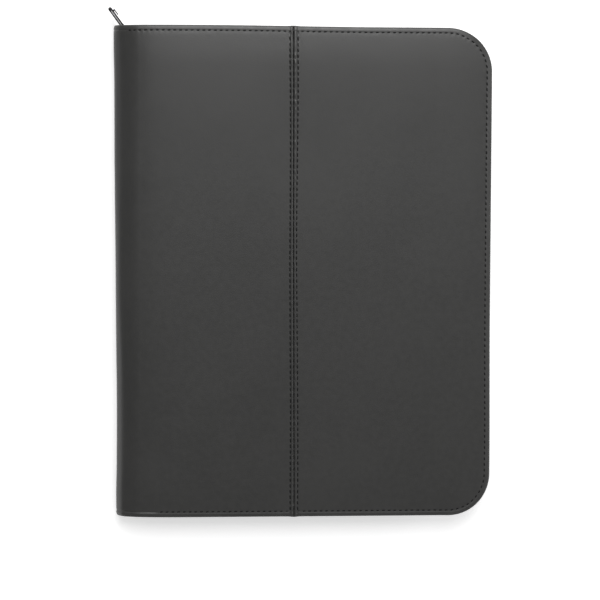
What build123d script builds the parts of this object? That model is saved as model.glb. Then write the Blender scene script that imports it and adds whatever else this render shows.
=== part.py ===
from build123d import *
import os

os.makedirs("parts", exist_ok=True)

# ---------------------------------------------------------------- dimensions
# The case lies shut on its back cover. X runs from the spine to the fore
# edge, Y from the foot to the head, Z up through the closed thickness.
width = 252.0
height = 330.0
thick = 26.0
corner_r = 29.0

# layers of one cover, from the outside in
panel_t = 1.2
foam_t = 1.0
board_t = 2.0
lining_t = 0.6

# turned hem round the sewn edge
hem_w = 8.0
hem_t = 1.0
core_inset = 8.5

# rounded spine: half an ellipse in section
spine_a = 16.0
spine_b = thick / 2
spine_x = -width / 2 + spine_a
fold_u = 222.54      # ellipse angle of the lower fold line
fold_gap = 1.0       # half of the slit at a fold, in degrees of that angle

# centre seam of the front cover
seam_x = -7.0
seam_gap = 0.1
seam_allowance = 8.0
seam_row = 2.45

# thread
row_inset = 3.6
thread_w = 0.6
groove_w = 0.8
groove_d = 0.55
row_start_x = -109.0

# zip
tape_t = 0.6
tape_inset = 6.5
flange_inset = 1.5
tape_start_x = -117.0
flange_start_x = -109.5
coil_w = 2.6
coil_low = 9.8
coil_high = 12.25
front_coil_start_x = -110.0
back_coil_start_x = -114.0

# zip slider and pull
slider_x0 = -121.3
slider_x1 = -110.3
slider_half_w = 4.4
slider_lip = 0.9
slider_channel = 1.5
slider_wing = 1.0
slider_slot = 0.65
pivot_x = -118.3
pivot_y = 161.9
bail_half = 2.8
bail_leg = 0.9
bail_w = 2.2
pull_dir = (-0.588, 0.809)
pull_len = 17.4      # pin to the centre of the rounded tip
pull_half_w = 4.0
pull_pin_r = 0.65
pull_t = 2.35
pull_off = 0.7       # the plate stands to one side of its pin
pull_tip_r = 1.3

# writing pad and pockets
pad_x0 = -101.5
pad_w = 216.0
pad_h = 279.0
pad_back_t = 0.8
sleeve_t = 0.7
sleeve_top = 30.0
sheets_t = 4.5
binding_t = 0.3
binding_h = 22.0
pocket_t = 0.7
card_t = 0.6

# ------------------------------------------------------------- derived levels
z_panel = panel_t
z_hem = panel_t + hem_t
z_foam = panel_t + foam_t
z_board = z_foam + board_t
z_lining = z_board + lining_t
mid = thick / 2
top_half = height / 2
tape_y = top_half - tape_inset
mirror_plane = Plane.XY.offset(mid)
fold_low = fold_u
fold_high = 360.0 - fold_u


def outline(inset, x_left):
    """Plan of a cover: square at the spine side, round at the fore edge."""
    x1 = width / 2 - inset
    y1 = top_half - inset
    r = corner_r - inset
    with BuildSketch() as sk:
        with BuildLine():
            Line((x_left, -y1), (x1 - r, -y1))
            CenterArc((x1 - r, -y1 + r), r, -90, 90)
            Line((x1, -y1 + r), (x1, y1 - r))
            CenterArc((x1 - r, y1 - r), r, 0, 90)
            Line((x1 - r, y1), (x_left, y1))
            Line((x_left, y1), (x_left, -y1))
        make_face()
    return sk.sketch


def band(outer, inner, x_left):
    """U-shaped strip along head, fore edge and foot, between two insets."""
    with BuildSketch() as sk:
        add(outline(outer, x_left))
        add(outline(inner, x_left - 20), mode=Mode.SUBTRACT)
    return sk.sketch


def sector(outer, inner, u0, u1):
    """Section of the rounded spine between two depths and two ellipse angles."""
    with BuildSketch() as sk:
        with BuildLine():
            a = EllipticalCenterArc(
                (spine_x, mid), spine_a - outer, spine_b - outer, u0, arc_size=u1 - u0
            )
            b = EllipticalCenterArc(
                (spine_x, mid), spine_a - inner, spine_b - inner, u0, arc_size=u1 - u0
            )
            Line(a @ 0, b @ 0)
            Line(a @ 1, b @ 1)
        make_face()
    return sk.sketch


def save(built, name):
    built.part.label = name
    export_step(built.part, "parts/" + name + ".step")


d_foam = panel_t + foam_t
d_lining = d_foam + lining_t

# ------------------------------------------------------------------ back cover
with BuildPart() as back_outer_panel:
    add(outline(0, spine_x))
    extrude(amount=z_hem)
    edges = back_outer_panel.edges().filter_by(lambda e: e.center().X > spine_x + 0.1)
    fillet(edges.filter_by(lambda e: e.center().Z < 0.01), radius=1.0)
    edges = back_outer_panel.edges().filter_by(lambda e: e.center().X > spine_x + 0.1)
    fillet(edges.filter_by(lambda e: e.center().Z > z_hem - 0.01), radius=0.8)
    with BuildSketch(Plane.XY.offset(z_panel)):
        add(outline(hem_w, spine_x - 1))
    extrude(amount=hem_t, mode=Mode.SUBTRACT)
    with BuildSketch(Plane.XZ.offset(top_half)):
        add(sector(0, panel_t, fold_low + fold_gap, 270))
    extrude(amount=-2 * top_half)
    add(band(row_inset - groove_w / 2, row_inset + groove_w / 2, row_start_x))
    extrude(amount=groove_d, mode=Mode.SUBTRACT)

with BuildPart() as back_foam:
    with BuildSketch(Plane.XY.offset(z_panel)):
        add(outline(core_inset, spine_x))
    extrude(amount=foam_t)
    with BuildSketch(Plane.XZ.offset(top_half - 1.0)):
        add(sector(panel_t, d_foam, fold_low + fold_gap, 270))
    extrude(amount=-2 * (top_half - 1.0))

with BuildPart() as back_board:
    with BuildSketch(Plane.XY.offset(z_foam)):
        add(outline(core_inset, spine_x + 1.0))
    extrude(amount=board_t)

with BuildPart() as back_lining:
    with BuildSketch(Plane.XY.offset(z_board)):
        add(outline(core_inset, spine_x))
    extrude(amount=lining_t)
    with BuildSketch(Plane.XY.offset(z_foam)):
        with Locations((spine_x + 0.35, 0)):
            Rectangle(0.7, 2 * (top_half - core_inset))
    extrude(amount=z_lining - z_foam)
    with BuildSketch(Plane.XZ.offset(top_half - 1.0)):
        add(sector(d_foam, d_lining, fold_low + fold_gap, 270))
    extrude(amount=-2 * (top_half - 1.0))

with BuildPart() as back_edge_stitching:
    with BuildSketch(Plane.XY.offset(0.05)):
        add(band(row_inset - thread_w / 2, row_inset + thread_w / 2, row_start_x + 0.2))
    extrude(amount=0.45)

with BuildPart() as zip_tape_back:
    with BuildSketch(Plane.XY.offset(z_hem)):
        add(band(flange_inset, tape_inset + tape_t / 2, flange_start_x))
    extrude(amount=tape_t)
    with BuildSketch(Plane.XY.offset(z_hem)):
        add(band(tape_inset - tape_t / 2, tape_inset + tape_t / 2, flange_start_x))
    extrude(amount=coil_low - z_hem)
    with BuildSketch(Plane.XY.offset(4.7)):
        add(band(tape_inset - tape_t / 2, tape_inset + tape_t / 2, tape_start_x))
    extrude(amount=coil_low - 4.7)

with BuildPart() as zip_coil_back:
    with BuildSketch(Plane.XY.offset(coil_low)):
        add(band(tape_inset - coil_w / 2, tape_inset + coil_w / 2, back_coil_start_x))
    extrude(amount=coil_high - coil_low)

with BuildPart() as zip_bottom_stop:
    with Locations((back_coil_start_x - 1.6, -tape_y, (coil_low + 15.9) / 2)):
        Box(2.8, 3.0, 15.9 - coil_low)
    fillet(zip_bottom_stop.edges().filter_by(Axis.Z), radius=0.6)

# ----------------------------------------------------------------- writing pad
pad_cx = pad_x0 + pad_w / 2
z_sleeve = z_lining + pad_back_t
z_sheets = z_sleeve + sleeve_t

with BuildPart() as pad_backing_board:
    with BuildSketch(Plane.XY.offset(z_lining)):
        with Locations((pad_cx, 0)):
            Rectangle(pad_w, pad_h)
    extrude(amount=pad_back_t)

with BuildPart() as pad_sleeve:
    with BuildSketch(Plane.XY.offset(z_lining)):
        add(outline(9.3, pad_x0 - 1.2))
        with Locations((0, sleeve_top - 100)):
            Rectangle(width, 200, mode=Mode.INTERSECT)
        with Locations((pad_cx, 0)):
            Rectangle(pad_w + 0.1, pad_h + 0.1, mode=Mode.SUBTRACT)
    extrude(amount=pad_back_t)
    with BuildSketch(Plane.XY.offset(z_sleeve)):
        add(outline(9.3, pad_x0 - 1.2))
        with Locations((0, sleeve_top - 100)):
            Rectangle(width, 200, mode=Mode.INTERSECT)
    extrude(amount=sleeve_t)

with BuildPart() as pad_sheets:
    with BuildSketch(Plane.XY.offset(z_sheets)):
        with Locations((pad_cx, 0)):
            Rectangle(pad_w, pad_h)
    extrude(amount=sheets_t)
    with BuildSketch(Plane.XY.offset(z_sleeve)):
        with Locations((pad_cx, (sleeve_top + 0.5 + pad_h / 2) / 2)):
            Rectangle(pad_w, pad_h / 2 - sleeve_top - 0.5)
    extrude(amount=sleeve_t)

z_sheets_top = z_sheets + sheets_t

with BuildPart() as pad_binding:
    with BuildSketch(Plane.XY.offset(z_sheets_top)):
        with Locations((pad_cx, pad_h / 2 - binding_h / 2 + binding_t / 2)):
            Rectangle(pad_w, binding_h + binding_t)
    extrude(amount=binding_t)
    with BuildSketch(Plane.XY.offset(z_lining)):
        with Locations((pad_cx, pad_h / 2 + binding_t / 2)):
            Rectangle(pad_w, binding_t)
    extrude(amount=z_sheets_top - z_lining)

# ------------------------------------------------------------------- pen loop
loop_x = -109.0
loop_y = 10.0
loop_r = 4.8
loop_t = 0.8
loop_len = 25.0
loop_z = z_lining + loop_r + loop_t

with BuildPart() as pen_loop:
    with BuildSketch(Plane.XZ.offset(-(loop_y - loop_len / 2))):
        with Locations((loop_x, loop_z)):
            Circle(loop_r + loop_t)
        with Locations((loop_x + 3.0, z_lining + loop_t / 2)):
            Rectangle(6.0, loop_t)
        with Locations((loop_x, loop_z)):
            Circle(loop_r, mode=Mode.SUBTRACT)
    extrude(amount=-loop_len)

# ----------------------------------------------------------------------- spine
with BuildPart() as spine_outer_panel:
    with BuildSketch(Plane.XZ.offset(top_half)):
        add(sector(0, panel_t, fold_high + fold_gap, fold_low - fold_gap))
    extrude(amount=-2 * top_half)

with BuildPart() as spine_foam:
    with BuildSketch(Plane.XZ.offset(top_half - 1.0)):
        add(sector(panel_t, d_foam, fold_high + fold_gap, fold_low - fold_gap))
    extrude(amount=-2 * (top_half - 1.0))

with BuildPart() as spine_lining:
    with BuildSketch(Plane.XZ.offset(top_half - 1.0)):
        add(sector(d_foam, d_lining, fold_high + fold_gap, fold_low - fold_gap))
    extrude(amount=-2 * (top_half - 1.0))

# ----------------------------------------------------------------- front cover
seam_under = 0.8


def front_shell():
    """Whole front skin before the seam parts it in two."""
    with BuildPart() as shell:
        with BuildSketch(Plane.XY.offset(thick - z_hem)):
            add(outline(0, spine_x))
        extrude(amount=z_hem)
        e = shell.edges().filter_by(lambda s: s.center().X > spine_x + 0.1)
        fillet(e.filter_by(lambda s: s.center().Z > thick - 0.01), radius=1.0)
        e = shell.edges().filter_by(lambda s: s.center().X > spine_x + 0.1)
        fillet(e.filter_by(lambda s: s.center().Z < thick - z_hem + 0.01), radius=0.8)
        with BuildSketch(Plane.XY.offset(thick - z_hem)):
            add(outline(hem_w, spine_x - 1))
        extrude(amount=hem_t, mode=Mode.SUBTRACT)
        with BuildSketch(Plane.XY.offset(thick - panel_t - seam_under)):
            with Locations((seam_x, 0)):
                Rectangle(2 * seam_allowance, 2 * (top_half - hem_w))
        extrude(amount=seam_under)
        with BuildSketch(Plane.XY.offset(thick - groove_d)):
            add(band(row_inset - groove_w / 2, row_inset + groove_w / 2, row_start_x))
            with Locations((seam_x - seam_row, 0), (seam_x + seam_row, 0)):
                Rectangle(groove_w, 2 * (top_half - row_inset - 0.8))
        extrude(amount=groove_d, mode=Mode.SUBTRACT)
    return shell.part


whole_front = front_shell()

with BuildPart() as front_left_panel:
    add(whole_front)
    split(bisect_by=Plane.YZ.offset(seam_x - seam_gap), keep=Keep.BOTTOM)
    with BuildSketch(Plane.XZ.offset(top_half)):
        add(sector(0, panel_t, 90, fold_high - fold_gap))
    extrude(amount=-2 * top_half)

with BuildPart() as front_right_panel:
    add(whole_front)
    split(bisect_by=Plane.YZ.offset(seam_x + seam_gap), keep=Keep.TOP)

with BuildPart() as seam_stitching:
    with BuildSketch(Plane.XY.offset(thick - 0.5)):
        with Locations((seam_x - seam_row, 0), (seam_x + seam_row, 0)):
            Rectangle(thread_w, 2 * (top_half - row_inset - 1.0))
    extrude(amount=0.45)

with BuildPart() as front_edge_stitching:
    mirror(back_edge_stitching.part, about=mirror_plane)

with BuildPart() as front_foam:
    mirror(back_foam.part, about=mirror_plane)
    with BuildSketch(Plane.XY.offset(thick - panel_t - seam_under)):
        with Locations((seam_x, 0)):
            Rectangle(2 * seam_allowance + 0.2, height)
    extrude(amount=foam_t, mode=Mode.SUBTRACT)

with BuildPart() as front_board:
    mirror(back_board.part, about=mirror_plane)

with BuildPart() as front_lining:
    mirror(back_lining.part, about=mirror_plane)

with BuildPart() as zip_tape_front:
    mirror(zip_tape_back.part, about=mirror_plane)

with BuildPart() as zip_coil_front:
    with BuildSketch(Plane.XY.offset(thick - coil_high)):
        add(band(tape_inset - coil_w / 2, tape_inset + coil_w / 2, front_coil_start_x))
    extrude(amount=coil_high - coil_low)

# ---------------------------------------------------- pockets inside the front
z_pocket = thick - z_lining - pocket_t

with BuildPart() as document_pocket:
    with BuildSketch(Plane.XY.offset(z_pocket)):
        add(outline(9.3, -100.0))
        with Locations((0, 92 - 150)):
            Rectangle(width, 300, mode=Mode.INTERSECT)
    extrude(amount=pocket_t)

card_x = 55.0
card_w = 104.0
card_foot = -62.0

with BuildPart() as card_pocket_upper:
    with BuildSketch(Plane.XY.offset(z_pocket - card_t)):
        with Locations((card_x, card_foot + 38)):
            Rectangle(card_w, 76)
    extrude(amount=card_t)

with BuildPart() as card_pocket_middle:
    with BuildSketch(Plane.XY.offset(z_pocket - 2 * card_t)):
        with Locations((card_x, card_foot + 30)):
            Rectangle(card_w, 60)
    extrude(amount=card_t)

with BuildPart() as card_pocket_lower:
    with BuildSketch(Plane.XY.offset(z_pocket - 3 * card_t)):
        with Locations((card_x, card_foot + 22)):
            Rectangle(card_w, 44)
    extrude(amount=card_t)

# ------------------------------------------------------------------ zip slider
slider_cx = (slider_x0 + slider_x1) / 2
slider_len = slider_x1 - slider_x0


def wing_outline(half_tail, half_nose):
    """Plan of a slider wing, wider at the nose."""
    with BuildSketch() as sk:
        with BuildLine():
            Polyline(
                (slider_x0, mid - half_nose),
                (slider_x1, mid - half_tail),
                (slider_x1, mid + half_tail),
                (slider_x0, mid + half_nose),
                close=True,
            )
        make_face()
        fillet(sk.vertices(), radius=1.2)
    return sk.sketch


with BuildPart() as slider_body:
    # outer and inner wing, each with the two lips that hold the coil
    with BuildSketch(
        Plane.XZ.offset(-(tape_y + slider_slot)),
        Plane.XZ.offset(-(tape_y - slider_channel - slider_wing)),
    ):
        add(wing_outline(4.2, slider_half_w))
    extrude(amount=-(slider_channel + slider_wing - slider_slot))
    with BuildSketch(Plane.XZ.offset(-(tape_y - slider_channel))):
        with Locations((slider_cx, mid)):
            Rectangle(slider_len + 2, 2 * (4.2 - slider_lip + 0.2))
    extrude(amount=-2 * slider_channel, mode=Mode.SUBTRACT)
    # wedge that parts the two coils at the nose
    with BuildSketch(Plane.XZ.offset(-(tape_y - slider_channel - 0.3))):
        with BuildLine():
            Polyline(
                (slider_x0 + 0.4, mid - 0.3),
                (slider_x0 + 2.0, mid - 0.5),
                (slider_x0 + 3.6, mid),
                (slider_x0 + 2.0, mid + 0.5),
                (slider_x0 + 0.4, mid + 0.3),
                close=True,
            )
        make_face()
    extrude(amount=-(2 * slider_channel + 0.6))

wing_y = tape_y + slider_channel + slider_wing

with BuildPart() as slider_bail:
    with BuildSketch(Plane.XY.offset(mid - bail_w / 2)):
        with Locations((pivot_x, wing_y + 1.35)):
            Rectangle(2 * bail_half, 2.7)
        with Locations((pivot_x, wing_y + 0.9)):
            Rectangle(2 * (bail_half - bail_leg), 1.8, mode=Mode.SUBTRACT)
    extrude(amount=bail_w)
    top = slider_bail.edges().filter_by(Axis.Z).group_by(Axis.Y)[-1]
    fillet(top, radius=1.0)

# -------------------------------------------------------------------- pull tab
pull_plane = Plane(
    origin=(pivot_x, pivot_y, mid - pull_half_w),
    x_dir=(pull_dir[0], pull_dir[1], 0),
    z_dir=(0, 0, 1),
)
window_plane = Plane(
    origin=(pivot_x, pivot_y, mid - 1.4),
    x_dir=(pull_dir[0], pull_dir[1], 0),
    z_dir=(0, 0, 1),
)
lip_plane = Plane(
    origin=(pivot_x, pivot_y, mid - 2.6),
    x_dir=(pull_dir[0], pull_dir[1], 0),
    z_dir=(0, 0, 1),
)

with BuildPart() as pull_tab:
    with BuildSketch(pull_plane):
        Circle(pull_pin_r)
        with Locations((2.4, 0)):
            Rectangle(4.8, 2 * pull_pin_r)
        with BuildLine():
            Polyline(
                (4.2, -pull_pin_r),
                (5.2, pull_off - pull_t / 2),
                (pull_len, pull_off - pull_t / 2),
                (pull_len, pull_off + pull_t / 2),
                (5.2, pull_off + pull_t / 2),
                (4.2, pull_pin_r),
                close=True,
            )
        make_face()
        with Locations((pull_len, pull_off)):
            Circle(pull_tip_r)
    extrude(amount=2 * pull_half_w)
    # eye that clears the bail
    with BuildSketch(window_plane):
        with Locations((pull_pin_r + 3.1, 0)):
            Rectangle(6.2, 4.0)
    extrude(amount=2.8, mode=Mode.SUBTRACT)
    # lip rolled back off the face near the tip
    with BuildSketch(lip_plane):
        with Locations((15.6, pull_off - 1.5)):
            Rectangle(1.0, 1.8)
        with Locations((13.9, pull_off - 2.1)):
            Rectangle(4.4, 0.6)
    extrude(amount=5.2)

# ---------------------------------------------------------------------- export
save(back_outer_panel, "back_outer_panel")
save(back_foam, "back_foam")
save(back_board, "back_board")
save(back_lining, "back_lining")
save(back_edge_stitching, "back_edge_stitching")
save(zip_tape_back, "zip_tape_back")
save(zip_coil_back, "zip_coil_back")
save(zip_bottom_stop, "zip_bottom_stop")
save(pad_backing_board, "pad_backing_board")
save(pad_sleeve, "pad_sleeve")
save(pad_sheets, "pad_sheets")
save(pad_binding, "pad_binding")
save(pen_loop, "pen_loop")
save(spine_outer_panel, "spine_outer_panel")
save(spine_foam, "spine_foam")
save(spine_lining, "spine_lining")
save(front_left_panel, "front_left_panel")
save(front_right_panel, "front_right_panel")
save(seam_stitching, "seam_stitching")
save(front_edge_stitching, "front_edge_stitching")
save(front_foam, "front_foam")
save(front_board, "front_board")
save(front_lining, "front_lining")
save(zip_tape_front, "zip_tape_front")
save(zip_coil_front, "zip_coil_front")
save(document_pocket, "document_pocket")
save(card_pocket_upper, "card_pocket_upper")
save(card_pocket_middle, "card_pocket_middle")
save(card_pocket_lower, "card_pocket_lower")
save(slider_body, "slider_body")
save(slider_bail, "slider_bail")
save(pull_tab, "pull_tab")
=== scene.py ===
import math

import bmesh
import bpy
import numpy as np
from mathutils import Matrix, Vector
from mathutils.geometry import delaunay_2d_cdt


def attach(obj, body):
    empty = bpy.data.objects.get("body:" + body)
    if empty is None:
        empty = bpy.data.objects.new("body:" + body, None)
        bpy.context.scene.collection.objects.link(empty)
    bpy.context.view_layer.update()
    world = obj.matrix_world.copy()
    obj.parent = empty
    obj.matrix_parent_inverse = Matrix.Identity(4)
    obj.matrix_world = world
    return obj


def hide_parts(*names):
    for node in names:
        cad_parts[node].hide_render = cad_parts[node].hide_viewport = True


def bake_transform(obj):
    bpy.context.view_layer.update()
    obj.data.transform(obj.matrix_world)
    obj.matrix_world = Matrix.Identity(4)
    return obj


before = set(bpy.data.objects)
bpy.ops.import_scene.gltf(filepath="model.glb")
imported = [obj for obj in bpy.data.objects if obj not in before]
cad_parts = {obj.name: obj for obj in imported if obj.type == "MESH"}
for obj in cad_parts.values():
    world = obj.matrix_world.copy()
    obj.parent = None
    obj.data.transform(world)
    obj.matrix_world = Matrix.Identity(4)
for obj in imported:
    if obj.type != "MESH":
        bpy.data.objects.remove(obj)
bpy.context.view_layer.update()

MM = 0.001
PI = math.pi

# ------------------------------------------------------------------ dimensions
# millimetres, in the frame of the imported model
W2, H2, T = 126.0, 165.0, 26.0
CR = 29.0                      # fore-edge corners
CX, CY = W2 - CR, H2 - CR      # their centres
SA, SB = 16.0, 13.0            # half ellipse of the spine
SX = -W2 + SA
SEAM = -7.0
ROW = 3.6                      # edge row of stitches, from the edge
PITCH = 3.85
TAPE = 6.5
rng = np.random.default_rng(7)


def S(t):
    t = np.clip(t, 0.0, 1.0)
    return t * t * (3 - 2 * t)


def G(t):
    return np.exp(-np.square(t))


# --------------------------------------------------------- the covers' own shape
_th = np.linspace(PI / 2, PI, 400)
_seg = np.hypot(np.diff(SA * np.cos(_th)), np.diff(SB * np.sin(_th)))
_len = np.concatenate([[0.0], np.cumsum(_seg)])
U_MID = SX - float(_len[-1])   # middle of the spine, unrolled


# slope of the padded cover as it rolls over into the spine, and back out to its middle
_u = np.linspace(0.0, U_MID, 1400)
_slope = np.interp(-_u, [0.0, 60.0, 84.0, 98.0, 109.0, 112.0, 115.0, 118.0, 122.0, 129.0, -U_MID],
                   [0.0, 0.002, 0.014, 0.060, 0.145, 0.105, 0.020, 0.020, -1.0, -1.0, 0.0])
_slope = np.convolve(np.pad(_slope, 30, mode="edge"), np.ones(61) / 61, mode="valid")
_slope[_slope < 0] *= _slope[_slope > 0].sum() / -_slope[_slope < 0].sum()
_fall = np.cumsum(_slope) * float(_u[0] - _u[1])


def drop(u):
    """How far the padded cover falls away towards the spine."""
    return np.interp(-np.asarray(u, float), -_u, _fall)


def warp(x, y):
    """The sewn edge isn't quite true: the head falls off towards the fore edge,
    the corner at the foot is a little fuller."""
    head, foot = np.clip(y / 100.0, 0, 1), np.clip(-y / 100.0, 0, 1)
    dy = -head * (0.85 * S((x + 60.0) / 110.0) + 0.4 * S((x - 90.0) / 24.0))
    dy = dy - foot * 0.45 * S((x - 92.0) / 24.0)
    dx = 0.6 * S((x - 40.0) / 80.0) * S((-y - 30.0) / 100.0)
    return x + dx, y + dy


def front(u, y, h):
    """A point h above the outside of the front cover, u unrolled round the spine."""
    u, y, h = np.broadcast_arrays(np.asarray(u, float), np.asarray(y, float), np.asarray(h, float))
    th = np.interp(np.maximum(SX - u, 0.0), _len, _th)
    nx, nz = np.cos(th) / SA, np.sin(th) / SB
    n = np.hypot(nx, nz)
    nx, nz = nx / n, nz / n
    bx = np.where(u >= SX, u, SX + SA * np.cos(th))
    bz = np.where(u >= SX, T, T / 2 + SB * np.sin(th))
    wx, wy = warp(bx, y)
    return np.stack([wx + nx * h, wy, bz + nz * h], -1)


def back(u, y, h):
    p = front(u, y, h)
    p[..., 2] = T - p[..., 2]
    return p


def level(z, sign=1.0):
    """Placer for a flat piece: h counts from z, down if sign is -1."""
    def put(u, y, h):
        u, y, h = np.broadcast_arrays(np.asarray(u, float), np.asarray(y, float), np.asarray(h, float))
        return np.stack([u, y, z + sign * h], -1)
    return put


# ----------------------------------------------------------------- mesh helpers
def make(name, verts, faces, material, uv=None, wear_and_highlight=None, sharp=48.0):
    me = bpy.data.meshes.new(name)
    me.from_pydata((np.asarray(verts, float) * MM).tolist(), [], [list(map(int, f)) for f in faces])
    me.update()
    bm = bmesh.new()
    bm.from_mesh(me)
    bmesh.ops.recalc_face_normals(bm, faces=bm.faces)
    bm.to_mesh(me)
    bm.free()
    if uv is not None:
        layer = me.uv_layers.new(name="flat")
        idx = np.zeros(len(me.loops), np.int32)
        me.loops.foreach_get("vertex_index", idx)
        layer.data.foreach_set("uv", (np.asarray(uv, float)[idx] * MM).astype(np.float32).ravel())
    if wear_and_highlight is not None:
        att = me.attributes.new("wear_and_highlight", "FLOAT", "POINT")
        att.data.foreach_set("value", np.asarray(wear_and_highlight, np.float32))
    me.polygons.foreach_set("use_smooth", np.ones(len(me.polygons), bool))
    me.set_sharp_from_angle(angle=math.radians(sharp))
    me.materials.append(material)
    obj = bpy.data.objects.new(name, me)
    bpy.context.scene.collection.objects.link(obj)
    return obj


def fill(loop, points):
    """Triangles over a closed loop of plan points with more points inside it."""
    pts = np.concatenate([loop, points]) if len(points) else np.asarray(loop)
    n = len(loop)
    out = delaunay_2d_cdt(
        [Vector((float(a), float(b))) for a, b in pts],
        [(i, (i + 1) % n) for i in range(n)], [], 1, 1e-7)
    back_to = [o[0] if o else -1 for o in out[3]]
    tris = [[back_to[i] for i in f] for f in out[2]]
    return pts, [t for t in tris if -1 not in t and len(set(t)) == 3]


def slab(name, chain, miter, dlist, inside, top, bottom, place, material,
         cut=None, wear_and_highlight=None, sharp=48.0):
    """Closed sheet. chain is its free edge, with the way inwards at each point;
    rings follow the edge at the insets in dlist, and both faces meet in the
    first. cut, if given, closes an open chain with a straight cut end."""
    chain, miter = np.asarray(chain, float), np.asarray(miter, float)
    n, k = len(chain), len(dlist)
    closed = cut is None
    rings = [chain + miter * d for d in dlist]
    loop = rings[-1] if closed else np.concatenate([rings[-1], np.asarray(cut, float).reshape(-1, 2)])
    flat, tris = fill(loop, np.asarray(inside, float).reshape(-1, 2))
    extra = flat[n:]
    plan = np.concatenate(rings + [extra])
    inset = np.concatenate([np.full(n, d) for d in dlist] + [np.full(len(extra), dlist[-1])])
    along = np.concatenate([np.tile(np.arange(n), k), np.zeros(len(extra), int)])
    ht, hb = top(plan, inset, along), bottom(plan, inset, along)
    total = len(plan)
    pt, pb = place(plan[:, 0], plan[:, 1], ht), place(plan[:, 0], plan[:, 1], hb)
    verts = np.concatenate([pt, pb[n:]])
    uv = np.concatenate([plan, plan[n:]])

    def ti(r, i):
        return r * n + i

    def bi(r, i):
        return i if r == 0 else total + (r - 1) * n + i

    def fi(j, up):
        v = (k - 1) * n + j if j < n else k * n + (j - n)
        return v if up else total + v - n

    faces = []
    last = n if closed else n - 1
    for r in range(k - 1):
        for i in range(last):
            j = (i + 1) % n
            faces.append((ti(r, i), ti(r, j), ti(r + 1, j), ti(r + 1, i)))
            faces.append((bi(r, j), bi(r, i), bi(r + 1, i), bi(r + 1, j)))
    for a, b, c in tris:
        faces.append((fi(a, True), fi(b, True), fi(c, True)))
        faces.append((fi(c, False), fi(b, False), fi(a, False)))
    if not closed:
        m = len(loop) - n
        up = [ti(r, n - 1) for r in range(k)] + [fi(n + j, True) for j in range(m)] + [ti(r, 0) for r in range(k - 1, -1, -1)]
        dn = [bi(r, n - 1) for r in range(k)] + [fi(n + j, False) for j in range(m)] + [bi(r, 0) for r in range(k - 1, -1, -1)]
        for a, b, c, d in zip(up[:-1], up[1:], dn[1:], dn[:-1]):
            f = []
            for v in (a, d, c, b):
                if v not in f:
                    f.append(v)
            if len(f) > 2:
                faces.append(f)
    w = None
    if wear_and_highlight is not None:
        wt = wear_and_highlight(plan, inset)
        w = np.concatenate([wt, np.zeros(total - n)])
    return make(name, verts, faces, material, uv=uv, wear_and_highlight=w, sharp=sharp)


def grid_slab(name, us, ys, top, bottom, place, material, wear_and_highlight=None):
    """Closed sheet on a grid; its two faces meet along the first and last row."""
    us, ys = np.asarray(us, float), np.asarray(ys, float)
    nu, ny = len(us), len(ys)
    uu, yy = np.meshgrid(us, ys, indexing="ij")
    pt, pb = place(uu, yy, top(uu, yy)), place(uu, yy, bottom(uu, yy))
    idt = np.arange(nu * ny).reshape(nu, ny)
    idb = np.full((nu, ny), -1)
    idb[:, 1:-1] = nu * ny + np.arange(nu * (ny - 2)).reshape(nu, ny - 2)
    idb[:, 0], idb[:, -1] = idt[:, 0], idt[:, -1]
    verts = np.concatenate([pt.reshape(-1, 3), pb[:, 1:-1].reshape(-1, 3)])
    plan = np.stack([uu, yy], -1)
    uv = np.concatenate([plan.reshape(-1, 2), plan[:, 1:-1].reshape(-1, 2)])
    faces = []
    for i in range(nu - 1):
        for j in range(ny - 1):
            faces.append((idt[i, j], idt[i + 1, j], idt[i + 1, j + 1], idt[i, j + 1]))
            faces.append((idb[i, j], idb[i, j + 1], idb[i + 1, j + 1], idb[i + 1, j]))
    for i in (0, nu - 1):
        for j in range(ny - 1):
            f = []
            for v in (idt[i, j], idt[i, j + 1], idb[i, j + 1], idb[i, j]):
                if v not in f:
                    f.append(v)
            if len(f) > 2:
                faces.append(f)
    w = None
    if wear_and_highlight is not None:
        w = np.concatenate([wear_and_highlight(uu, yy).ravel(), np.zeros(nu * (ny - 2))])
    return make(name, verts, faces, material, uv=uv, wear_and_highlight=w)


def u_chain(inset, x_left, step=1.3, extra=()):
    """Free edge of a cover from the foot's left end round to the head's."""
    xs = np.linspace(x_left, CX, int((CX - x_left) / step) + 1)
    if len(extra):
        e = np.asarray(extra, float)
        xs = np.concatenate([e, xs[xs > e.max() + 0.4]])
        xs = np.unique(np.concatenate([[x_left], xs]))
    na = int(CR * PI / 2 / step)
    an = np.linspace(-PI / 2, 0, na + 1)[1:-1]
    ys = np.linspace(-CY, CY, int(2 * CY / step) + 1)
    r = CR - inset
    pts, mit = [], []
    for x in xs:
        pts.append((x, -H2 + inset)); mit.append((0, 1))
    for a in an:
        pts.append((CX + r * math.cos(a), -CY + r * math.sin(a))); mit.append((-math.cos(a), -math.sin(a)))
    for y in ys:
        pts.append((W2 - inset, y)); mit.append((-1, 0))
    for a in an:
        a = a + PI / 2
        pts.append((CX + r * math.cos(a), CY + r * math.sin(a))); mit.append((-math.cos(a), -math.sin(a)))
    for x in xs[::-1]:
        pts.append((x, H2 - inset)); mit.append((0, -1))
    return np.array(pts), np.array(mit)


def arc_length(p):
    return np.concatenate([[0.0], np.cumsum(np.hypot(*np.diff(p, axis=0).T))])


def inside_cover(cols, rows, inset, keep):
    """Grid points at least keep inside the outline at that inset."""
    r = CR - inset - keep
    uu, yy = np.meshgrid(cols, rows, indexing="ij")
    ok = (uu < W2 - inset - keep) & (np.abs(yy) < H2 - inset - keep)
    corner = (uu > CX) & (np.abs(yy) > CY)
    ok &= ~corner | (np.square(uu - CX) + np.square(np.abs(yy) - CY) < max(r, 0) ** 2)
    return np.stack([uu[ok], yy[ok]], -1)


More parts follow.
